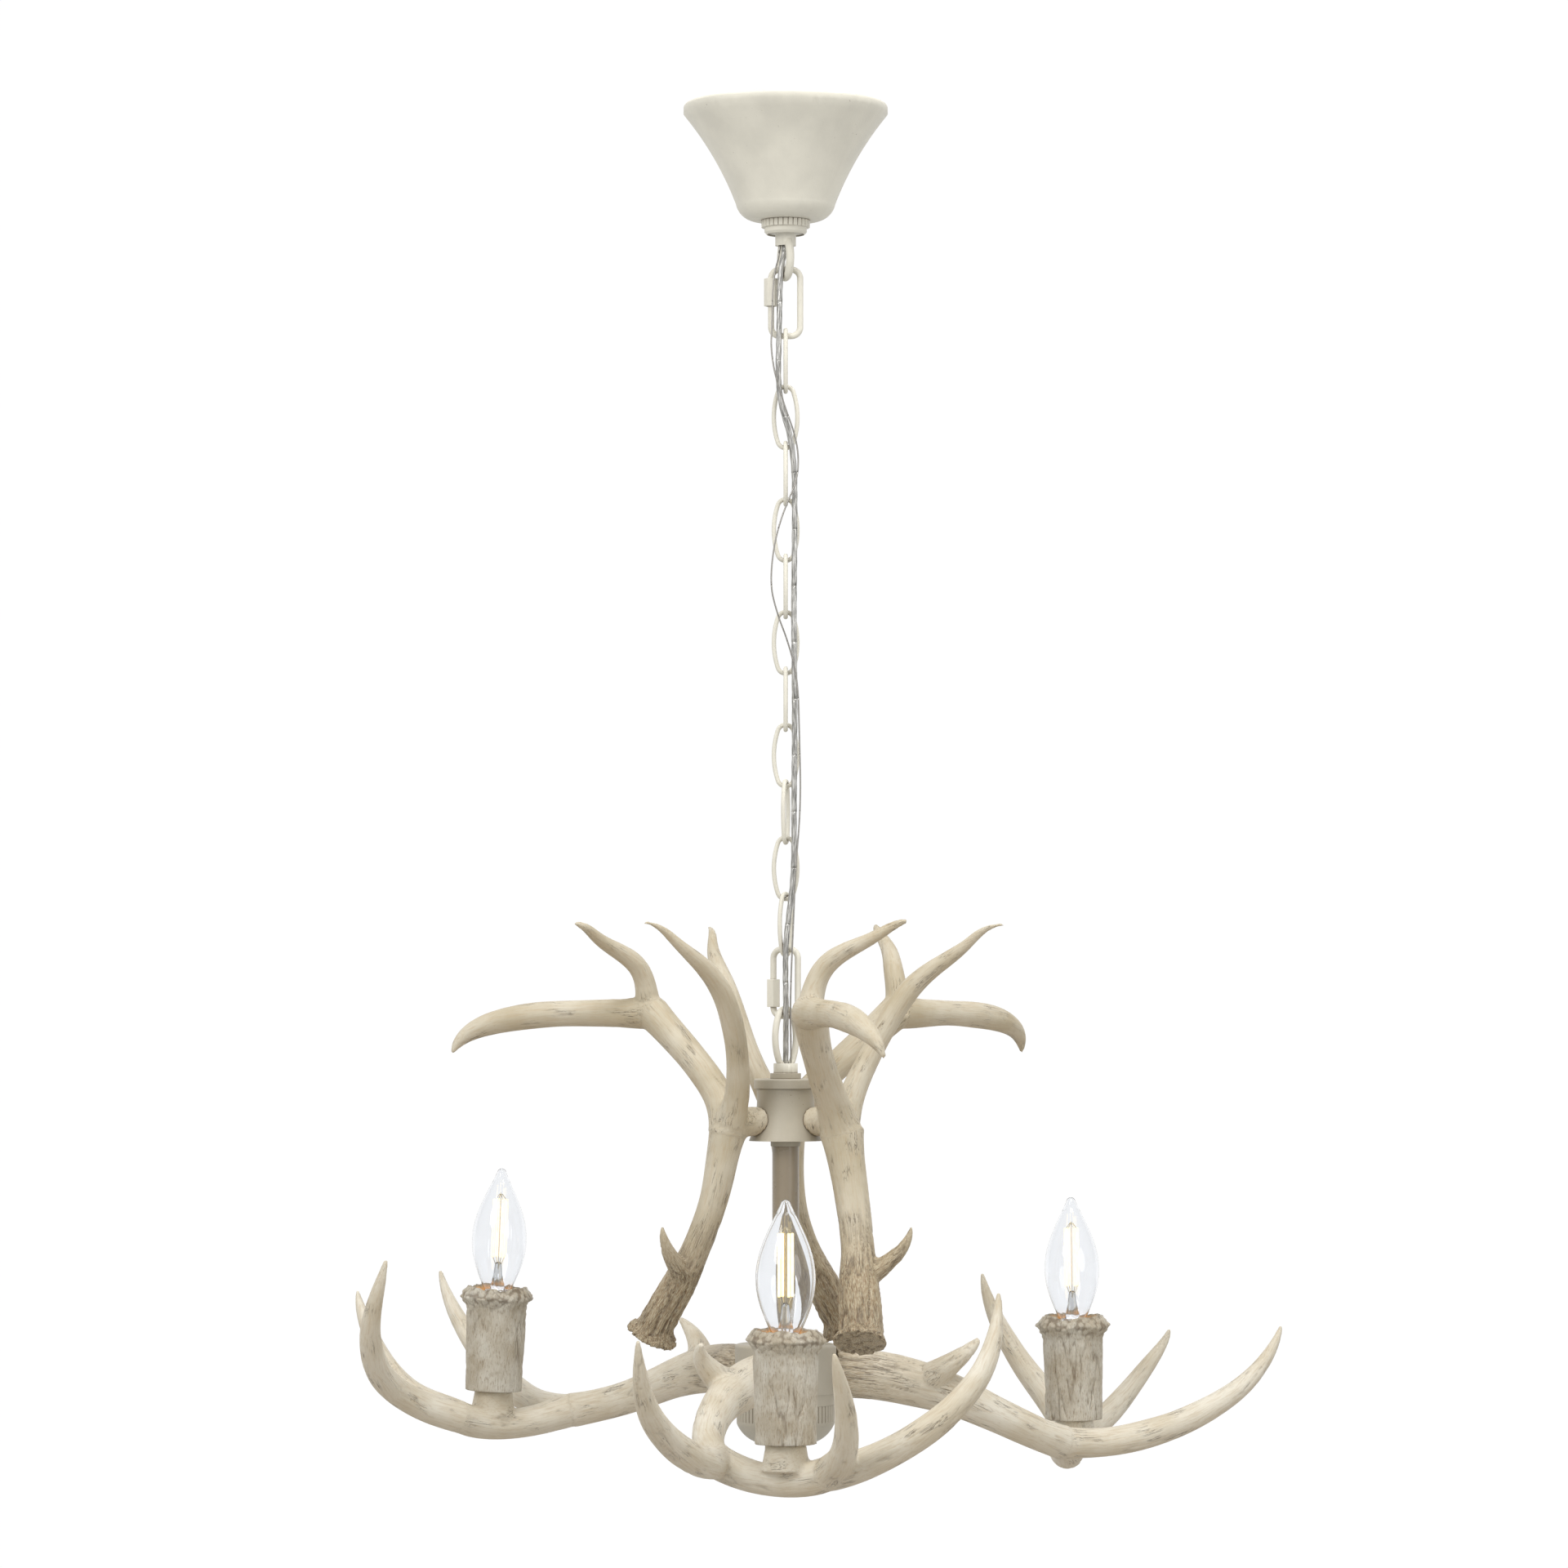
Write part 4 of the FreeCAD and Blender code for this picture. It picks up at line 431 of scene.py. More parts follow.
def end_caps(rings, steps):
    return [tuple(range(steps))[::-1], tuple(range((rings - 1) * steps, rings * steps))]


def vertex_array(mesh):
    flat = np.zeros(len(mesh.vertices) * 3)
    mesh.vertices.foreach_get("co", flat)
    return flat.reshape(-1, 3)


def normal_array(mesh):
    flat = np.zeros(len(mesh.vertices) * 3)
    mesh.vertices.foreach_get("normal", flat)
    return flat.reshape(-1, 3)


def set_vertices(mesh, points):
    mesh.vertices.foreach_set("co", np.ascontiguousarray(points, dtype=np.float32).ravel())
    mesh.update()


def set_attribute(mesh, name, values):
    kind = "FLOAT_VECTOR" if values.ndim == 2 else "FLOAT"
    field = "vector" if values.ndim == 2 else "value"
    made = mesh.attributes.new(name, kind, "POINT")
    made.data.foreach_set(field, np.ascontiguousarray(values, dtype=np.float32).ravel())


def remeshed(node, name, voxel, rounds):
    """A fine, even copy of a CAD node's form."""
    source = NODES[node]
    work = bpy.data.objects.new(name, source.data.copy())
    bpy.context.scene.collection.objects.link(work)
    remesh = work.modifiers.new("even", "REMESH")
    remesh.mode = "VOXEL"
    remesh.voxel_size = voxel
    ease = work.modifiers.new("ease", "SMOOTH")
    ease.factor = 0.5
    ease.iterations = rounds
    bpy.context.view_layer.update()
    depsgraph = bpy.context.evaluated_depsgraph_get()
    even = bpy.data.meshes.new_from_object(work.evaluated_get(depsgraph))
    work.modifiers.clear()
    work.data = even
    even.materials.clear()
    even.polygons.foreach_set("use_smooth", [True] * len(even.polygons))
    return work


def ridge_noise(point):
    """0 in a crease's bottom, rising to 1 away from it."""
    value = noise.noise(point) + 0.5 * noise.noise(point * 2.1)
    return min(1.0, abs(value) * 2.6)


# --------------------------------------------------------------------------------------
# CAD nodes that keep their form
# --------------------------------------------------------------------------------------
SOFT_EDGE = 0.3 * MM
WELD_REACH = 0.01 * MM
SHARP_TURN = math.radians(32)


def dress(node, material, edge=SOFT_EDGE):
    """Gives a CAD node its finish, rounds its edges a little and shades it smooth."""
    piece = NODES[node]
    piece.data.materials.clear()
    piece.data.materials.append(material)
    piece.data.polygons.foreach_set("use_smooth", [True] * len(piece.data.polygons))
    weld = piece.modifiers.new("weld", "WELD")
    weld.merge_threshold = WELD_REACH
    if edge:
        bevel = piece.modifiers.new("edges", "BEVEL")
        bevel.width = edge
        bevel.segments = 2
        bevel.limit_method = "ANGLE"
        bevel.angle_limit = SHARP_TURN
        bevel.use_clamp_overlap = True
    normals = piece.modifiers.new("normals", "WEIGHTED_NORMAL")
    normals.keep_sharp = True


def dress_metalwork():
    cream = painted_metal("cream_paint", (0.78, 0.745, 0.64), (0.16, 0.10, 0.06), 0.5)
    hub_cream = painted_metal("hub_paint", (0.47, 0.425, 0.335), (0.18, 0.12, 0.07), 0.5)
    taupe = painted_metal("stem_paint", (0.33, 0.275, 0.20), (0.16, 0.11, 0.07), 0.28)
    zinc = bare_metal("zinc", (0.62, 0.63, 0.62), 0.36)
    brass = bare_metal("brass", (0.72, 0.55, 0.28), 0.28)
    nickel = bare_metal("nickel", (0.70, 0.68, 0.64), 0.22)
    green = painted_metal("ground_green", (0.05, 0.26, 0.09), (0.3, 0.3, 0.3), 0.4)
    white = moulded_plastic("holder_white", (0.86, 0.82, 0.74))
    wire = moulded_plastic("lead_sheath", (0.74, 0.72, 0.68), 0.3)
    chain = [f"chain_link_{number:02d}" for number in range(1, LINKS + 1)]
    for node in ("canopy", "canopy_loop", "quick_link_top", "quick_link_bottom", "hub_loop",
                 *chain):
        dress(node, cream, 0.0)
    for node in ("canopy_ring", "quick_link_top_sleeve", "quick_link_bottom_sleeve"):
        dress(node, cream)
    for node in ("hub_washer", "hub_lid", "upper_hub", "stem_collar", "lower_hub", "reeded_cup",
                 "finial"):
        dress(node, hub_cream)
    dress("stem_tube", taupe)
    for node in ("mounting_bar", "threaded_nipple", "nipple_nuts", "tie_pipe", "hickey",
                 "antler_screws", "arm_bolts", "socket_pipes"):
        dress(node, zinc)
    dress("ground_screw", green)
    dress("lamp_contacts", brass)
    dress("lampholders", white)
    dress("wire_connectors", white)
    dress("lamp_leads", wire, 0.0)
    for side in SIDES:
        dress(f"bulb_base_{side}", nickel)


# --------------------------------------------------------------------------------------
# Antlers. Centre lines (out, round, up) from the seat on the hub, in mm, as they were chosen
# for the castings, with the radius at each point.
# --------------------------------------------------------------------------------------
UPPER_TINES = {
    "trunk": [(50.5, -38, -132, 13.0), (47.5, -31, -119, 12.0), (42.5, -24, -105, 11.8),
              (35.5, -13, -82, 9.8), (28.5, -5, -57, 9.3), (22.5, -2, -30, 10.0),
              (17.5, -1, -6, 12.5)],
    "main_branch": [(17.5, -1, -6, 12.5), (16.5, -10, 11, 10.3), (19.5, -28, 30, 9.4),
                    (25.5, -48, 48, 9.6), (33.5, -69, 67, 11.0)],
    "drooping_tine": [(33.5, -69, 67, 11.0), (57.5, -95, 66, 8.6), (81.5, -118, 65, 8.4),
                      (103.5, -137, 61, 7.6), (120.5, -148, 53, 5.2), (130, -151, 41, 1.2)],
    "curled_tine": [(33.5, -69, 67, 9.0), (37.5, -69, 82, 7.0), (44.5, -67, 95, 6.3),
                    (60.5, -65, 105, 5.2), (76.5, -61, 113, 3.8), (93.5, -57, 121, 1.2)],
    "single_tine": [(17.5, -1, -6, 11.0), (17.5, 8, 10, 8.6), (20.5, 17, 28, 7.4),
                    (29.5, 28, 54, 7.1), (44.5, 37, 81, 6.6), (58.5, 42, 94, 5.5),
                    (78.5, 46, 108, 3.6), (102.5, 49, 120, 1.1)],
    "spur": [(39.5, -17, -95, 8.0), (50.5, -7, -86, 5.8), (59.5, -1.5, -76, 4.0),
             (64.5, 1.5, -63, 1.1)],
}
LOWER_TINES = {
    "beam": [(-4, -5, 0, 15.5), (21, -16, -1, 14.8), (45, -28, -5, 13.8), (69, -38, -12, 12.0),
             (94, -44, -22, 10.7), (121, -45, -32, 10.0), (147, -40, -39, 10.6)],
    "outer_tine": [(147, -40, -39, 10.6), (174, -45, -38, 9.5), (199, -55, -32, 9.3),
                   (225, -67, -20, 8.4), (251, -77, -2, 6.7), (269, -81, 18, 4.5),
                   (279, -82, 39, 1.3)],
    "saddle": [(147, -40, -39, 10.6), (164, -21, -46, 9.8), (177, 0, -48, 9.9),
               (189, 24, -43, 10.3)],
    "long_tine": [(189, 24, -43, 10.3), (203, 45, -36, 9.4), (211, 68, -24, 8.9),
                  (209, 92, -7, 8.1), (201, 111, 15, 6.7), (191, 120, 39, 4.5),
                  (184, 122, 60.5, 1.3)],
    "middle_tine": [(189, 24, -43, 10.0), (214, 31, -33, 8.5), (235, 34, -19, 7.4),
                    (251, 33, 0, 5.9), (262, 30, 16, 4.1), (269, 27, 31, 1.3)],
    "brow_tine": [(49, -30, -6, 12.0), (57, -44, 6, 7.7), (66, -50, 15, 5.2),
                  (76, -50, 24, 1.6)],
}
ANTLER_VOXEL = 1.25 * MM
SMOOTHING_ROUNDS = 3
LUMP_DEPTH = 0.4
CREASE_DEPTH = 0.6
ROUGH_CREASE_DEPTH = 1.1
KNOB_HEIGHT = 1.5
KNOB_START = 0.45
FULL_DEPTH_RADIUS = 7.0 * MM
COLUMN_REACH = 26 * MM
COLUMN_FADE = 6 * MM
UPPER_AZIMUTH = {"left": 210.0, "right": 330.0, "back": 90.0}
LOWER_AZIMUTH = {"front": -90.0, "right": 30.0, "left": 150.0}
ARM_LIFT = {"front": 0.0, "right": -3.2, "left": 2.6}
UPPER_SEAT_RADIUS = 22.5 * MM
LOWER_SEAT_RADIUS = 31.0 * MM


def middle(node):
    low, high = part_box(node)
    return (low + high) / 2


def seat_frame(azimuth, radius, level, lift=0.0):
    """From an antler's own frame, in mm, to the part's."""
    turn = Matrix.Rotation(math.radians(azimuth), 4, "Z")
    raise_up = Matrix.Rotation(math.radians(-lift), 4, "Y")
    return (Matrix.Translation((0, 0, level)) @ turn @ Matrix.Translation((radius, 0, 0))
            @ raise_up @ Matrix.Scale(MM, 4))


def tine_lines(tines, to_part):
    """For each run of a tine: its ends, radii, distance so far, and a steady side direction."""
    runs = []
    for stations in tines.values():
        points = [to_part @ Vector(station[:3]) for station in stations]
        bend = Vector((0, 0, 0))
        for first, second, third in zip(points, points[1:], points[2:]):
            bend += (second - first).normalized().cross((third - second).normalized())
        side = bend.normalized()
        total = sum((b - a).length for a, b in zip(points, points[1:]))
        gone = 0.0
        for index in range(len(points) - 1):
            start, end = points[index], points[index + 1]
            runs.append((start, end, stations[index][3] * MM, stations[index + 1][3] * MM, gone,
                         side, total))
            gone += (end - start).length
    return runs


def follow_grain(points, runs):
    """Per vertex: grain coordinates in mm, the share of the tine's length and the radius there."""
    best = np.full(len(points), 1e9)
    grain = np.zeros((len(points), 3))
    share = np.zeros(len(points))
    thick = np.zeros(len(points))
    for start, end, first_radius, last_radius, gone, side, total in runs:
        a, step = np.array(start), np.array(end - start)
        length = np.linalg.norm(step)
        along = step / length
        t = np.clip((points - a) @ step / length ** 2, 0, 1)
        radius = first_radius + (last_radius - first_radius) * t
        away = points - a - t[:, None] * step
        distance = np.linalg.norm(away, axis=1) - radius
        nearer = distance < best
        best[nearer] = distance[nearer]
        across = np.array(side) - along * (np.array(side) @ along)
        across /= np.linalg.norm(across)
        other = np.cross(along, across)
        grain[nearer, 0] = (away @ across)[nearer] / MM
        grain[nearer, 1] = (away @ other)[nearer] / MM
        grain[nearer, 2] = (gone + t * length)[nearer] / MM
        share[nearer] = ((gone + t * length) / total)[nearer]
        thick[nearer] = radius[nearer]
    return grain, share, thick


def carve(piece, runs, roughness, seed, keep_clear):
    """Creases, lumps and pearls on an antler, cut inward from the casting's form."""
    mesh = piece.data
    points, normals = vertex_array(mesh), normal_array(mesh)
    grain, share, thick = follow_grain(points, runs)
    rough = roughness(points, share)
    creases = np.zeros(len(points))
    depth = np.zeros(len(points))
    shift = Vector((seed * 7.3, seed * 3.1, seed * 5.7))
    for index in range(len(points)):
        a, b, s = grain[index]
        lump = noise.noise(Vector((a * 0.055, b * 0.055, s * 0.035)) + shift)
        gate = noise.noise(Vector((a * 0.07, b * 0.07, s * 0.022)) - shift)
        level = max(0.0, min(1.0, (gate + rough[index] * 1.1 - 0.12) * 3.0))
        crease = 1.0 - ridge_noise(Vector((a * 0.15, b * 0.15, s * 0.018)) + shift)
        crease = max(0.0, crease - 0.55) / 0.45
        knobs = 0.0
        if rough[index] > KNOB_START:
            spread = noise.voronoi(Vector((a, b, s * 0.8)) * 0.26 + shift)[0][0]
            knobs = max(0.0, 1.0 - spread * 1.5) * (rough[index] - KNOB_START)
        creases[index] = crease * level
        cut = (CREASE_DEPTH + ROUGH_CREASE_DEPTH * rough[index]) * crease * level
        depth[index] = (LUMP_DEPTH * (lump - 0.3) - cut + KNOB_HEIGHT * knobs
                        - 0.3 * rough[index])
    thin = np.clip(thick / FULL_DEPTH_RADIUS, 0.25, 1.0)
    near = keep_clear(points)
    moved = points + normals * (depth * thin * near * MM)[:, None]
    set_vertices(mesh, moved)
    set_attribute(mesh, "grain", grain)
    set_attribute(mesh, "stain", np.clip(rough, 0, 1))
    set_attribute(mesh, "crease", np.clip(creases * 2.2 - 1.2, 0, 1) * (0.35 + 0.5 * rough))


def column_clearance(points):
    """Keeps the seat on the hub as the casting has it."""
    reach = np.hypot(points[:, 0], points[:, 1])
    return np.clip((reach - COLUMN_REACH) / COLUMN_FADE, 0.0, 1.0)


def build_upper_antlers(material):
    level = middle("antler_screws").z
    burr_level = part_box("upper_antler_left")[0].z
    for seed, (side, azimuth) in enumerate(UPPER_AZIMUTH.items(), start=1):
        node = f"upper_antler_{side}"
        piece = remeshed(node, f"{node}_cast", ANTLER_VOXEL, SMOOTHING_ROUNDS)
        runs = tine_lines(UPPER_TINES, seat_frame(azimuth, UPPER_SEAT_RADIUS, level))

        def roughness(points, share):
            rise = (points[:, 2] - burr_level) / 0.10
            return np.clip(1.12 - rise, 0.0, 1.0)

        carve(piece, runs, roughness, seed, column_clearance)
        finish_casting(piece, node, material)


def build_lower_antlers(material):
    level = middle("arm_bolts").z
    for seed, (side, azimuth) in enumerate(LOWER_AZIMUTH.items(), start=11):
        node = f"lower_antler_{side}"
        piece = remeshed(node, f"{node}_cast", ANTLER_VOXEL, SMOOTHING_ROUNDS)
        to_part = seat_frame(azimuth, LOWER_SEAT_RADIUS, level, ARM_LIFT[side])
        runs = tine_lines(LOWER_TINES, to_part)

        def roughness(points, share):
            reach = np.hypot(points[:, 0], points[:, 1])
            return np.clip(0.62 - (reach - 0.04) / 0.12, 0.0, 0.62)

        def clearance(points):
            return column_clearance(points) * lamp_clearance(points, side)

        carve(piece, runs, roughness, seed, clearance)
        finish_casting(piece, node, material)


def finish_casting(piece, node, material):
    piece.data.materials.append(material)
    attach(piece, "chandelier")
    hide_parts(node)


# --------------------------------------------------------------------------------------
# Lamps
# --------------------------------------------------------------------------------------
def lamp_frame(side):
    """A lamp's own frame in metres: its origin at the cup's foot, its third axis up the lamp."""
    up = Vector(JOINTS[f"bulb_{side}_unscrew"]["axis"]).normalized()
    across = Vector((1, 0, 0)) - up * up.x
    across.normalize()
    along = up.cross(across)
    base = vertex_array(NODES[f"bulb_base_{side}"].data)
    cup = vertex_array(NODES[f"candle_cup_{side}"].data)
    centre = Vector((0, 0, 0))
    for way in (across, along):
        reach = base @ np.array(way)
        centre += way * ((reach.min() + reach.max()) / 2)
    centre += up * (cup @ np.array(up)).min()
    made = Matrix((across, along, up)).transposed().to_4x4()
    made.translation = centre
    return made


LAMPS = {side: lamp_frame(side) for side in SIDES}


BOSS_RADIUS = 16 * MM
BOSS_LAYER = 2 * MM


def lamp_clearance(points, side):
    """Keeps the boss under the cup smooth where the cup sits on it."""
    up = np.array(LAMPS[side].col[2][:3])
    foot = np.array(LAMPS[side].translation)
    height = (points - foot) @ up
    away = np.linalg.norm(points - foot - height[:, None] * up, axis=1)
    inside = (np.abs(height) < BOSS_LAYER) & (away < BOSS_RADIUS)
    return np.where(inside, 0.0, 1.0)


def lathe(name, outline, steps, to_part, closed=True):
    """A turned form from (radius, height) points in metres."""
    points = []
    for radius, height in outline:
        for step in range(steps):
            turn = 2 * math.pi * step / steps
            points.append(to_part @ Vector((radius * math.cos(turn), radius * math.sin(turn),
                                            height)))
    return add_mesh(name, points, ring_faces(len(outline), steps, closed))


CUP_STEPS = 260
CUP_RINGS = 90
CUP = {"foot": 17.8, "body": 19.0, "body_height": 50.0, "crown": 24.0, "crown_height": 59.0,
       "top": 19.6, "height": 66.0, "bore": 14.4, "floor": 3.0, "hole": 4.9}


def cup_radius(height):
    """The bark sleeve's outer radius before its grooves are cut, in mm."""
    if height < CUP["body_height"]:
        return CUP["foot"] + (CUP["body"] - CUP["foot"]) * height / CUP["body_height"]
    if height < CUP["crown_height"]:
        share = (height - CUP["body_height"]) / (CUP["crown_height"] - CUP["body_height"])
        return CUP["body"] + (CUP["crown"] - CUP["body"]) * share ** 1.6
    share = (height - CUP["crown_height"]) / (CUP["height"] - CUP["crown_height"])
    return CUP["crown"] + (CUP["top"] - CUP["crown"]) * share ** 1.3


def bark(turn, height, seed):
    """Groove depth in mm and darkness at a place on a cup."""
    x, y = math.cos(turn), math.sin(turn)
    shift = Vector((seed * 4.7, seed * 2.9, seed * 8.3))
    smooth_patch = noise.noise(Vector((x * 0.9, y * 0.9, height * 0.018)) + shift)
    level = max(0.12, min(1.0, 0.75 + smooth_patch * 1.6))
    wide = 1.0 - ridge_noise(Vector((x * 2.6, y * 2.6, height * 0.03)) + shift)
    fine = 1.0 - ridge_noise(Vector((x * 6.0, y * 6.0, height * 0.06)) + shift)
    groove = (1.25 * max(0.0, wide - 0.25) + 0.7 * max(0.0, fine - 0.3)) * level
    dark = groove / 1.6
    crown = max(0.0, min(1.0, (height - 48.0) / 8.0))
    if crown > 0:
        spread = noise.voronoi(Vector((x * 19, y * 19, height)) * 0.30 + shift)[0][0]
        pearls = max(0.0, 1.0 - spread * 1.35)
        rim_cut = max(0.0, noise.noise(Vector((x * 1.7, y * 1.7, 3.0)) + shift)) * 5.0
        groove += crown * (rim_cut * 0.6 + 1.2 - 2.0 * pearls)
        dark = dark * (1 - crown) + crown * (0.85 - 1.3 * pearls)
    return groove, max(0.0, min(1.0, dark))


def rim_drop(turn, seed):
    """How far the ragged rim stands under the cup's full height, in mm."""
    place = Vector((math.cos(turn) * 1.8, math.sin(turn) * 1.8, seed * 3.3))
    return max(0.0, 2.6 * (noise.noise(place) + 0.35) + 1.2 * noise.noise(place * 3.7))


def build_cup(side, seed, material):
    points, faces, creases, grain = [], [], [], []
    heights = [CUP["height"] * ring / (CUP_RINGS - 1) for ring in range(CUP_RINGS)]
    columns = []
    for step in range(CUP_STEPS):
        turn = 2 * math.pi * step / CUP_STEPS
        drop = rim_drop(turn, seed)
        column = [(CUP["hole"], 0.0, 0.0)]
        for height in heights:
            groove, dark = bark(turn, height, seed)
            level = height - drop * max(0.0, (height - 56.0) / 10.0)
            column.append((cup_radius(height) - groove, level, dark))
        inner_top = CUP["height"] - drop - 0.6
        column.append((CUP["bore"] + 2.2, inner_top + 0.4, 0.4))
        column.append((CUP["bore"] + 0.3, inner_top - 2.5, 0.2))
        column.append((CUP["bore"], CUP["floor"], 0.1))
        column.append((CUP["hole"], CUP["floor"], 0.1))
        columns.append((turn, column))
    rings = len(columns[0][1])
    for turn, column in columns:
        for radius, height, dark in column:
            local = Vector((radius * math.cos(turn), radius * math.sin(turn), height))
            points.append(LAMPS[side] @ (local * MM))
            creases.append(dark)
            grain.append(local)
    for step in range(CUP_STEPS):
        after = (step + 1) % CUP_STEPS
        for ring in range(rings):
            above = (ring + 1) % rings
            faces.append((step * rings + ring, after * rings + ring, after * rings + above,
                          step * rings + above))
    piece = add_mesh(f"candle_cup_{side}_bark", points, faces)
    set_attribute(piece.data, "crease", np.array(creases))
    set_attribute(piece.data, "grain", np.array([tuple(place) for place in grain]))
    # Painted light: the inner lining's rings get the painted warm glow.
    painted_glow_lining = [0.0] * (CUP_RINGS + 1) + [0.0, 1.0, 1.0, 1.0]
    set_attribute(piece.data, "inside", np.array(painted_glow_lining * CUP_STEPS))
    piece.data.materials.append(material)
    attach(piece, "chandelier")
    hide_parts(f"candle_cup_{side}")


BULB = {"neck": 7.5, "belly": 17.3, "belly_height": 33.0, "height": 77.2, "tip": 2.4}
GLASS_WALL = 0.7
POINT_START = 70
BULB_STEPS = 96


def bulb_outline(neck, belly, belly_height, height, tip):
    """A candle bulb's side from its neck to its point, in mm."""
    outline = []
    for step in range(0, 41):
        t = step / 40
        if t < 0.4:
            share = t / 0.4
            rise = belly_height * share
            radius = neck + (belly - neck) * math.sin(share * math.pi / 2) ** 0.95
        else:
            share = (t - 0.4) / 0.6
            rise = belly_height + (height - belly_height) * share
            radius = tip + (belly - tip) * math.cos(share * math.pi / 2) ** 1.12
        outline.append((radius, rise))
    outline.append((tip * 0.55, height + tip * 0.35))
    outline.append((0.05, height + tip * 0.5))
    return outline


def build_bulb(side, glass, glow, wires):
    to_part = LAMPS[side]
    low = (vertex_array(NODES[f"bulb_glass_{side}"].data) @ np.array(to_part.col[2][:3])).min()
    foot = low - Vector(to_part.col[2][:3]).dot(to_part.translation)
    outside = bulb_outline(**BULB)
    inside = [(max(radius - GLASS_WALL, 0.03), rise - (GLASS_WALL if rise > POINT_START else 0.0))
              for radius, rise in outside]
    outline = [(radius * MM, foot + rise * MM) for radius, rise in outside + inside[::-1]]
    bulb = lathe(f"bulb_glass_{side}_clear", outline, BULB_STEPS, to_part)
    bulb.data.materials.append(glass)
    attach(bulb, f"bulb_{side}")
    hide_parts(f"bulb_glass_{side}")
    build_filaments(side, foot + 2.0 * MM, to_part, glass, glow, wires)


def rod(start, end, radius, steps=12, ends=0.6):
    """Points and faces of a round rod with eased ends."""
    start, end = Vector(start), Vector(end)
    along = (end - start).normalized()
    side = along.orthogonal().normalized()
    other = along.cross(side)
    rings = [(0.0, 0.15), (0.12, 0.75), (0.35, 1.0), (1.0, 1.0)]
    profile = [(radius * ends * rise, radius * width) for rise, width in rings]
    length = (end - start).length
    profile += [(length - rise, width) for rise, width in reversed(profile)]
    points = []
    for rise, width in profile:
        for step in range(steps):
            turn = 2 * math.pi * step / steps
            points.append(start + along * rise
                          + (side * math.cos(turn) + other * math.sin(turn)) * width)
    return points, ring_faces(len(profile), steps) + end_caps(len(profile), steps)


def join_rods(name, rods, to_part):
    points, faces = [], []
    for rod_points, rod_faces in rods:
        first = len(points)
        points += [to_part @ (point * MM) for point in rod_points]
        faces += [tuple(first + corner for corner in face) for face in rod_faces]
    return add_mesh(name, points, faces)


FILAMENTS = 4
FILAMENT_TURN = 0.28
FILAMENT_RING = 4.2
FILAMENT_FOOT = 20.5
FILAMENT_TOP = 57.0
STICK_RADIUS = 0.9
LEAD_RADIUS = 0.22
LEAD_STEPS = 6
STEM_OUTLINE = [(0.05, 0.0), (4.8, 0.0), (4.4, 3.0), (2.9, 9.0), (2.2, 15.0), (1.6, 17.0),
                (0.05, 17.6)]


def build_filaments(side, foot, to_part, glass, glow, wires):
    """Four glowing sticks on a glass stem, with the lead wires at both ends."""
    base = foot / MM
    sticks, leads = [], []
    for number in range(FILAMENTS):
        turn = 2 * math.pi * (number + FILAMENT_TURN) / FILAMENTS
        x, y = FILAMENT_RING * math.cos(turn), FILAMENT_RING * math.sin(turn)
        sticks.append(rod((x, y, base + FILAMENT_FOOT), (x, y, base + FILAMENT_TOP),
                          STICK_RADIUS))
        leads.append(rod((x * 0.42, y * 0.42, base + 15.5), (x, y, base + FILAMENT_FOOT + 1),
                         LEAD_RADIUS, LEAD_STEPS))
        leads.append(rod((x, y, base + FILAMENT_TOP - 1), (x * 0.2, y * 0.2, base + 60.2),
                         LEAD_RADIUS, LEAD_STEPS))
    leads.append(rod((0, 0, base + 13), (0, 0, base + 61), LEAD_RADIUS, LEAD_STEPS))
    lit = join_rods(f"filament_sticks_{side}", sticks, to_part)
    lit.data.materials.append(glow)
    wired = join_rods(f"filament_leads_{side}", leads, to_part)
    wired.data.materials.append(wires)
    outline = [(radius * MM, foot + rise * MM) for radius, rise in STEM_OUTLINE]
    stem = lathe(f"bulb_stem_{side}", outline, 32, to_part, closed=False)
    stem.data.materials.append(glass)
    for piece in (lit, wired, stem):
        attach(piece, f"bulb_{side}")
    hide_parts(f"bulb_filaments_{side}")


# --------------------------------------------------------------------------------------
# Cable and ground wire: their routes, in mm
# --------------------------------------------------------------------------------------
CABLE_ROUTE = [
    (0.5, -17, -27.8), (0.5, -16.6, -8), (0.5, 0.2, -8), (0.5, 0.2, -87), (-3.4, -5.0, -101),
    (-3.9, -5.0, -138), (-5.0, -4.6, -178), (5.4, -4.5, -210), (5.6, -4.9, -262),
    (4.9, -4.5, -316), (5.7, -4.8, -372), (5.1, -4.5, -424), (5.3, -5.0, -470),
    (1.4, -6.5, -500), (-0.3, -6.9, -520), (0.3, -6.0, -555), (0, 0, -578), (0, 0, -770)]
GROUND_ROUTE = [
    (-10.0, 0.3, -21), (-9.4, 0.2, -12), (-2.4, -0.3, -11), (-2.4, -0.3, -87.5),
    (-7.8, -6.2, -106), (-8.2, -7.4, -136), (-9.2, -7.8, -150), (-5.4, -9.4, -172),
    (12.0, -8.8, -220), (-5.0, -8.6, -257), (-10.0, -8.0, -292), (-5.2, -8.6, -312),
    (1.5, -9.2, -329), (7.5, -9.4, -352), (8.4, -8.8, -386), (9.4, -8.4, -428),
    (6.0, -8.8, -468), (4.8, -9.0, -500), (3.4, -9.2, -530), (2.8, -8.6, -556),
    (3.3, -5.0, -574), (3.2, -3.4, -586.4)]
CABLE_DIAMETER = 3.6 * MM
GROUND_DIAMETER = 1.0 * MM
SHEATH_CORES = 3
CORE_PITCH = 30.0 * MM
CABLE_STEPS = 18
WIRE_STEPS = 8


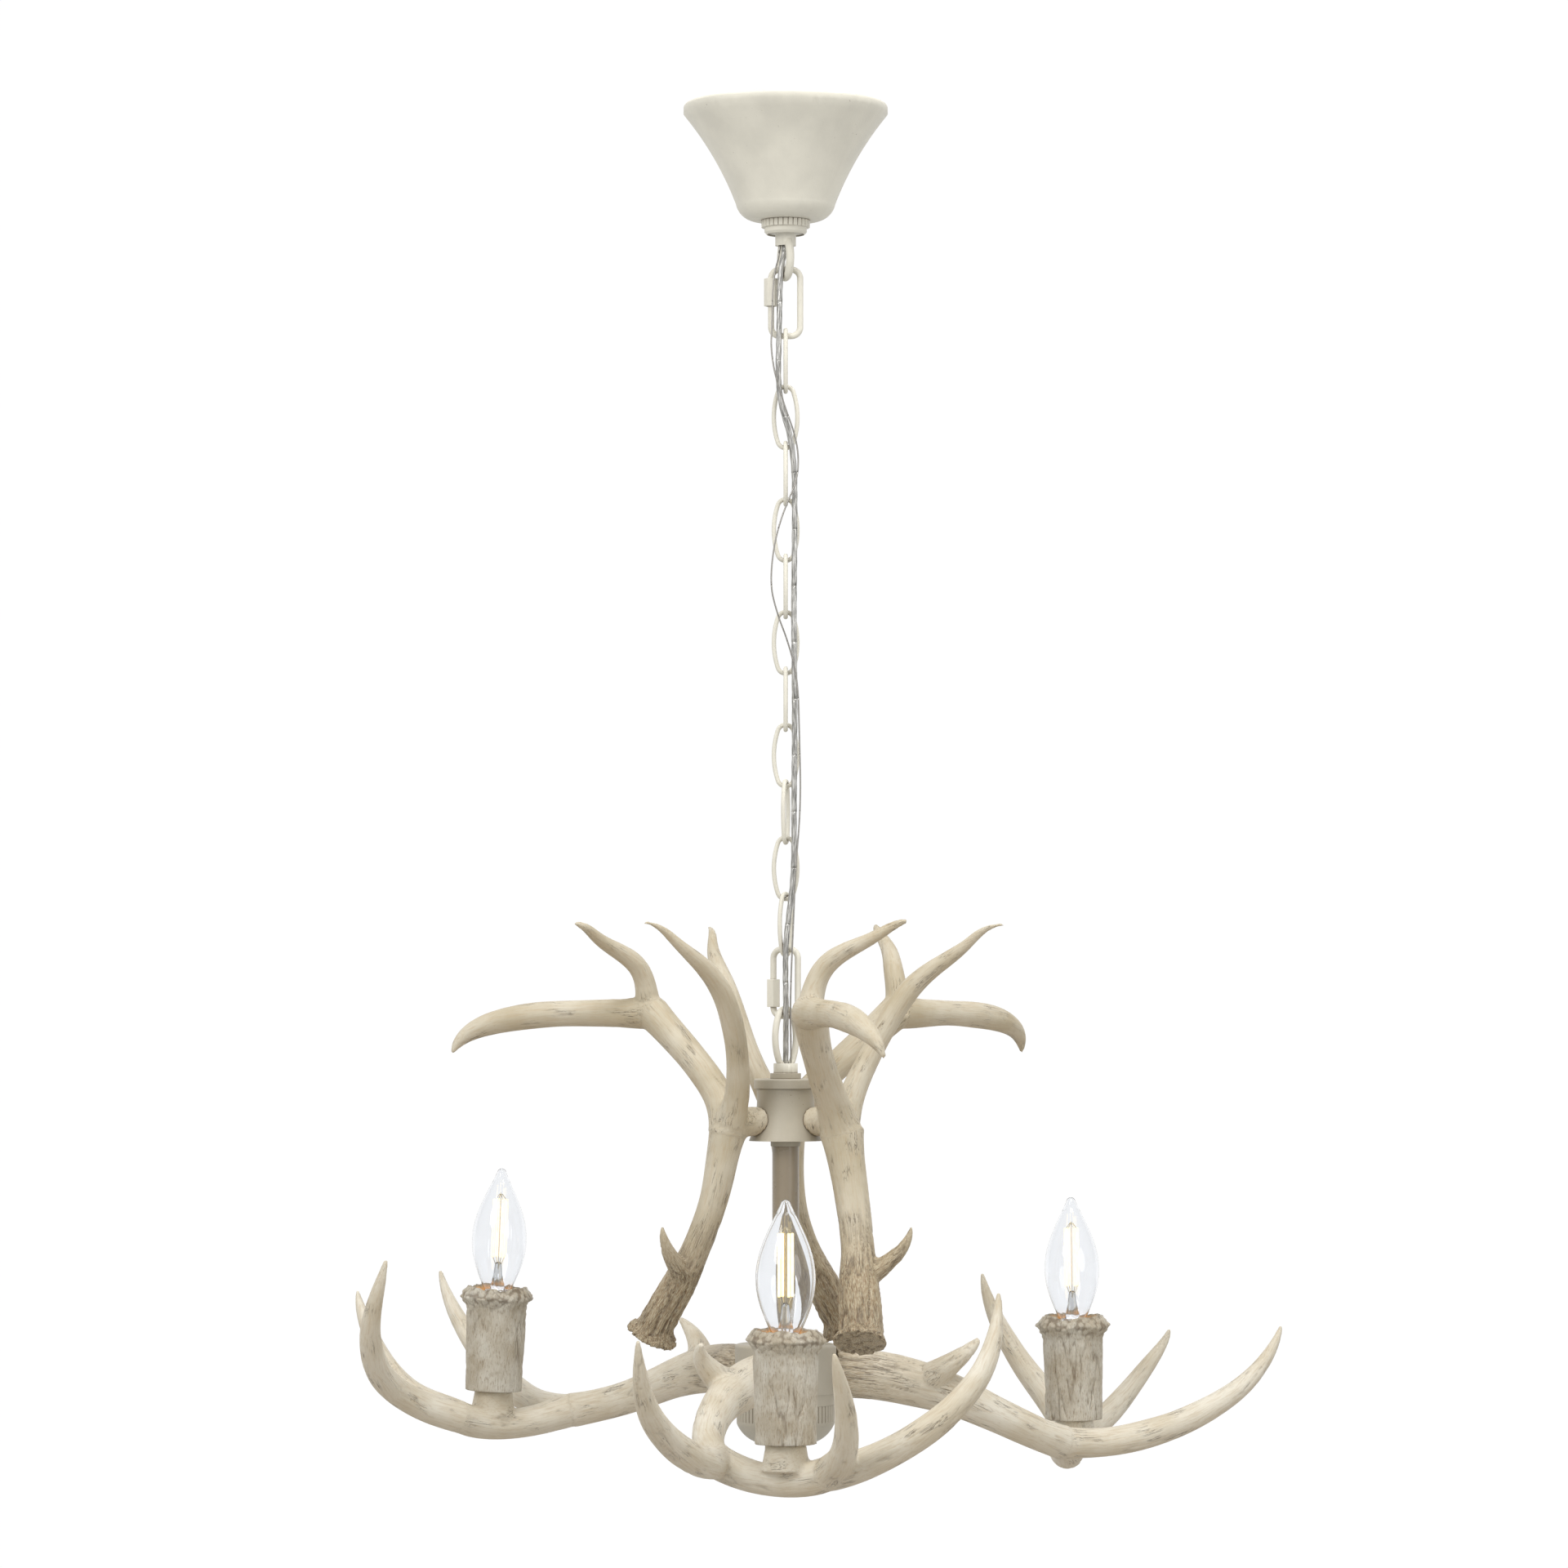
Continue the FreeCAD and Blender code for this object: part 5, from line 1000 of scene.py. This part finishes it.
def smooth_line(name, route):
    """Points read from the route's own NURBS spline."""
    curve = bpy.data.curves.new(name, "CURVE")
    curve.dimensions = "3D"
    curve.resolution_u = 24
    spline = curve.splines.new("NURBS")
    spline.points.add(len(route) - 1)
    for point, place in zip(spline.points, route):
        point.co = (*[part * MM for part in place], 1)
    spline.order_u = 3
    spline.use_endpoint_u = True
    holder = bpy.data.objects.new(name, curve)
    bpy.context.scene.collection.objects.link(holder)
    bpy.context.view_layer.update()
    line = bpy.data.meshes.new_from_object(
        holder.evaluated_get(bpy.context.evaluated_depsgraph_get()))
    points = vertex_array(line)
    bpy.data.objects.remove(holder)
    bpy.data.meshes.remove(line)
    return points


def chain_stations():
    """(height, body) from the ceiling down: where the cable changes from one body to the next."""
    stations = [(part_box("canopy_loop")[0].z + 0.018, "ceiling_fixing"),
                (middle("quick_link_top").z, "top_quick_link")]
    for number in range(1, LINKS + 1):
        stations.append((middle(f"chain_link_{number:02d}").z, f"link_{number:02d}"))
    stations.append((middle("quick_link_bottom").z, "bottom_quick_link"))
    stations.append((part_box("hub_loop")[0].z + 0.006, "chandelier"))
    return stations


def cut_line(points, high, low):
    """The stretch of a line between two heights, with its ends on them."""
    def at_height(level):
        below = int(np.argmax(points[:, 2] < level))
        a, b = points[below - 1], points[below]
        return a + (b - a) * (a[2] - level) / (a[2] - b[2])

    inside = points[(points[:, 2] < high - 0.0004) & (points[:, 2] > low + 0.0004)]
    return np.vstack([at_height(high), inside, at_height(low)])


def tube(name, points, diameter, lobes, started=0.0):
    """A tube along points; with lobes, its section shows that many cores, laid up in a twist."""
    steps = CABLE_STEPS if lobes else WIRE_STEPS
    rings, grain = [], []
    side = Vector((1, 0, 0))
    gone = started
    for index, point in enumerate(points):
        before, after = points[max(index - 1, 0)], points[min(index + 1, len(points) - 1)]
        along = Vector(after - before).normalized()
        side = (side - along * side.dot(along)).normalized()
        other = along.cross(side)
        if index:
            gone += float(np.linalg.norm(points[index] - points[index - 1]))
        for step in range(steps):
            turn = 2 * math.pi * step / steps
            radius = diameter / 2
            if lobes:
                lay = lobes * (turn - gone / CORE_PITCH * 2 * math.pi)
                radius *= 0.86 + 0.14 * abs(math.cos(lay / 2)) ** 0.7
            rings.append(Vector(point) + (side * math.cos(turn) + other * math.sin(turn)) * radius)
            grain.append((math.cos(turn) * 2, math.sin(turn) * 2, gone / MM))
    count = len(points)
    piece = add_mesh(name, rings, ring_faces(count, steps) + end_caps(count, steps))
    set_attribute(piece.data, "grain", np.array(grain))
    return piece, gone


def hang_cord(node, route, diameter, lobes, material):
    """A cord in stretches, cut where it passes from one body of the chain to the next; the stretch
    in the canopy goes with the ceiling fixing and the one in the column with the chandelier.
    """
    line = smooth_line(node, route)
    stations = chain_stations()
    top = stations[0][0]
    turning = int(np.argmax(line[:, 2]))
    down = line[turning:]
    first_in = line[line[:, 2] > top] if turning == 0 else np.vstack(
        [line[:turning], cut_line(down, down[0][2] - 0.0001, top)])
    pieces = []
    head, gone = tube(f"{node}_in_canopy", first_in, diameter, lobes)
    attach(head, "ceiling_fixing")
    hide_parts(node)
    pieces.append(head)
    for (high, upper), (low, lower) in zip(stations, stations[1:]):
        low = max(low, float(down[:, 2].min()) + 0.0001)
        stretch = cut_line(down, high, low)
        piece, gone = tube(f"{node}_at_{lower}", stretch, diameter, lobes, gone)
        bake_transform(piece)
        pieces.append(piece)
    last = stations[-1][0]
    if down[:, 2].min() < last - 0.002:
        tail, gone = tube(f"{node}_in_column", cut_line(down, last, down[:, 2].min() + 0.0001),
                          diameter, lobes, gone)
        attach(tail, "chandelier")
        pieces.append(tail)
    for piece in pieces:
        piece.data.materials.append(material)


# --------------------------------------------------------------------------------------
# The whole scene
# --------------------------------------------------------------------------------------
add_camera()
add_lights()
add_stage()
dress_metalwork()
build_upper_antlers(antler_material("upper_antler_resin", (0.61, 0.55, 0.43), (0.48, 0.41, 0.28),
                                    (0.24, 0.155, 0.075)))
build_lower_antlers(antler_material("lower_antler_resin", PALE_IVORY, IVORY,
                                    (0.40, 0.30, 0.18)))
bark_finish = bark_material("bark")
bulb_glass = clear_glass("bulb_glass")
bulb_glow = glowing("filament_glow", (1.0, 0.72, 0.27), 2.0)
bulb_wires = bare_metal("filament_wire", (0.75, 0.66, 0.45), 0.3)
for cup_seed, lamp_side in enumerate(SIDES, start=1):
    build_cup(lamp_side, cup_seed, bark_finish)
    build_bulb(lamp_side, bulb_glass, bulb_glow, bulb_wires)
hang_cord("supply_cable", CABLE_ROUTE, CABLE_DIAMETER, SHEATH_CORES,
          cable_material("clear_cable"))
hang_cord("ground_wire", GROUND_ROUTE, GROUND_DIAMETER, 0,
          bare_metal("ground_wire_metal", (0.40, 0.38, 0.35), 0.35))
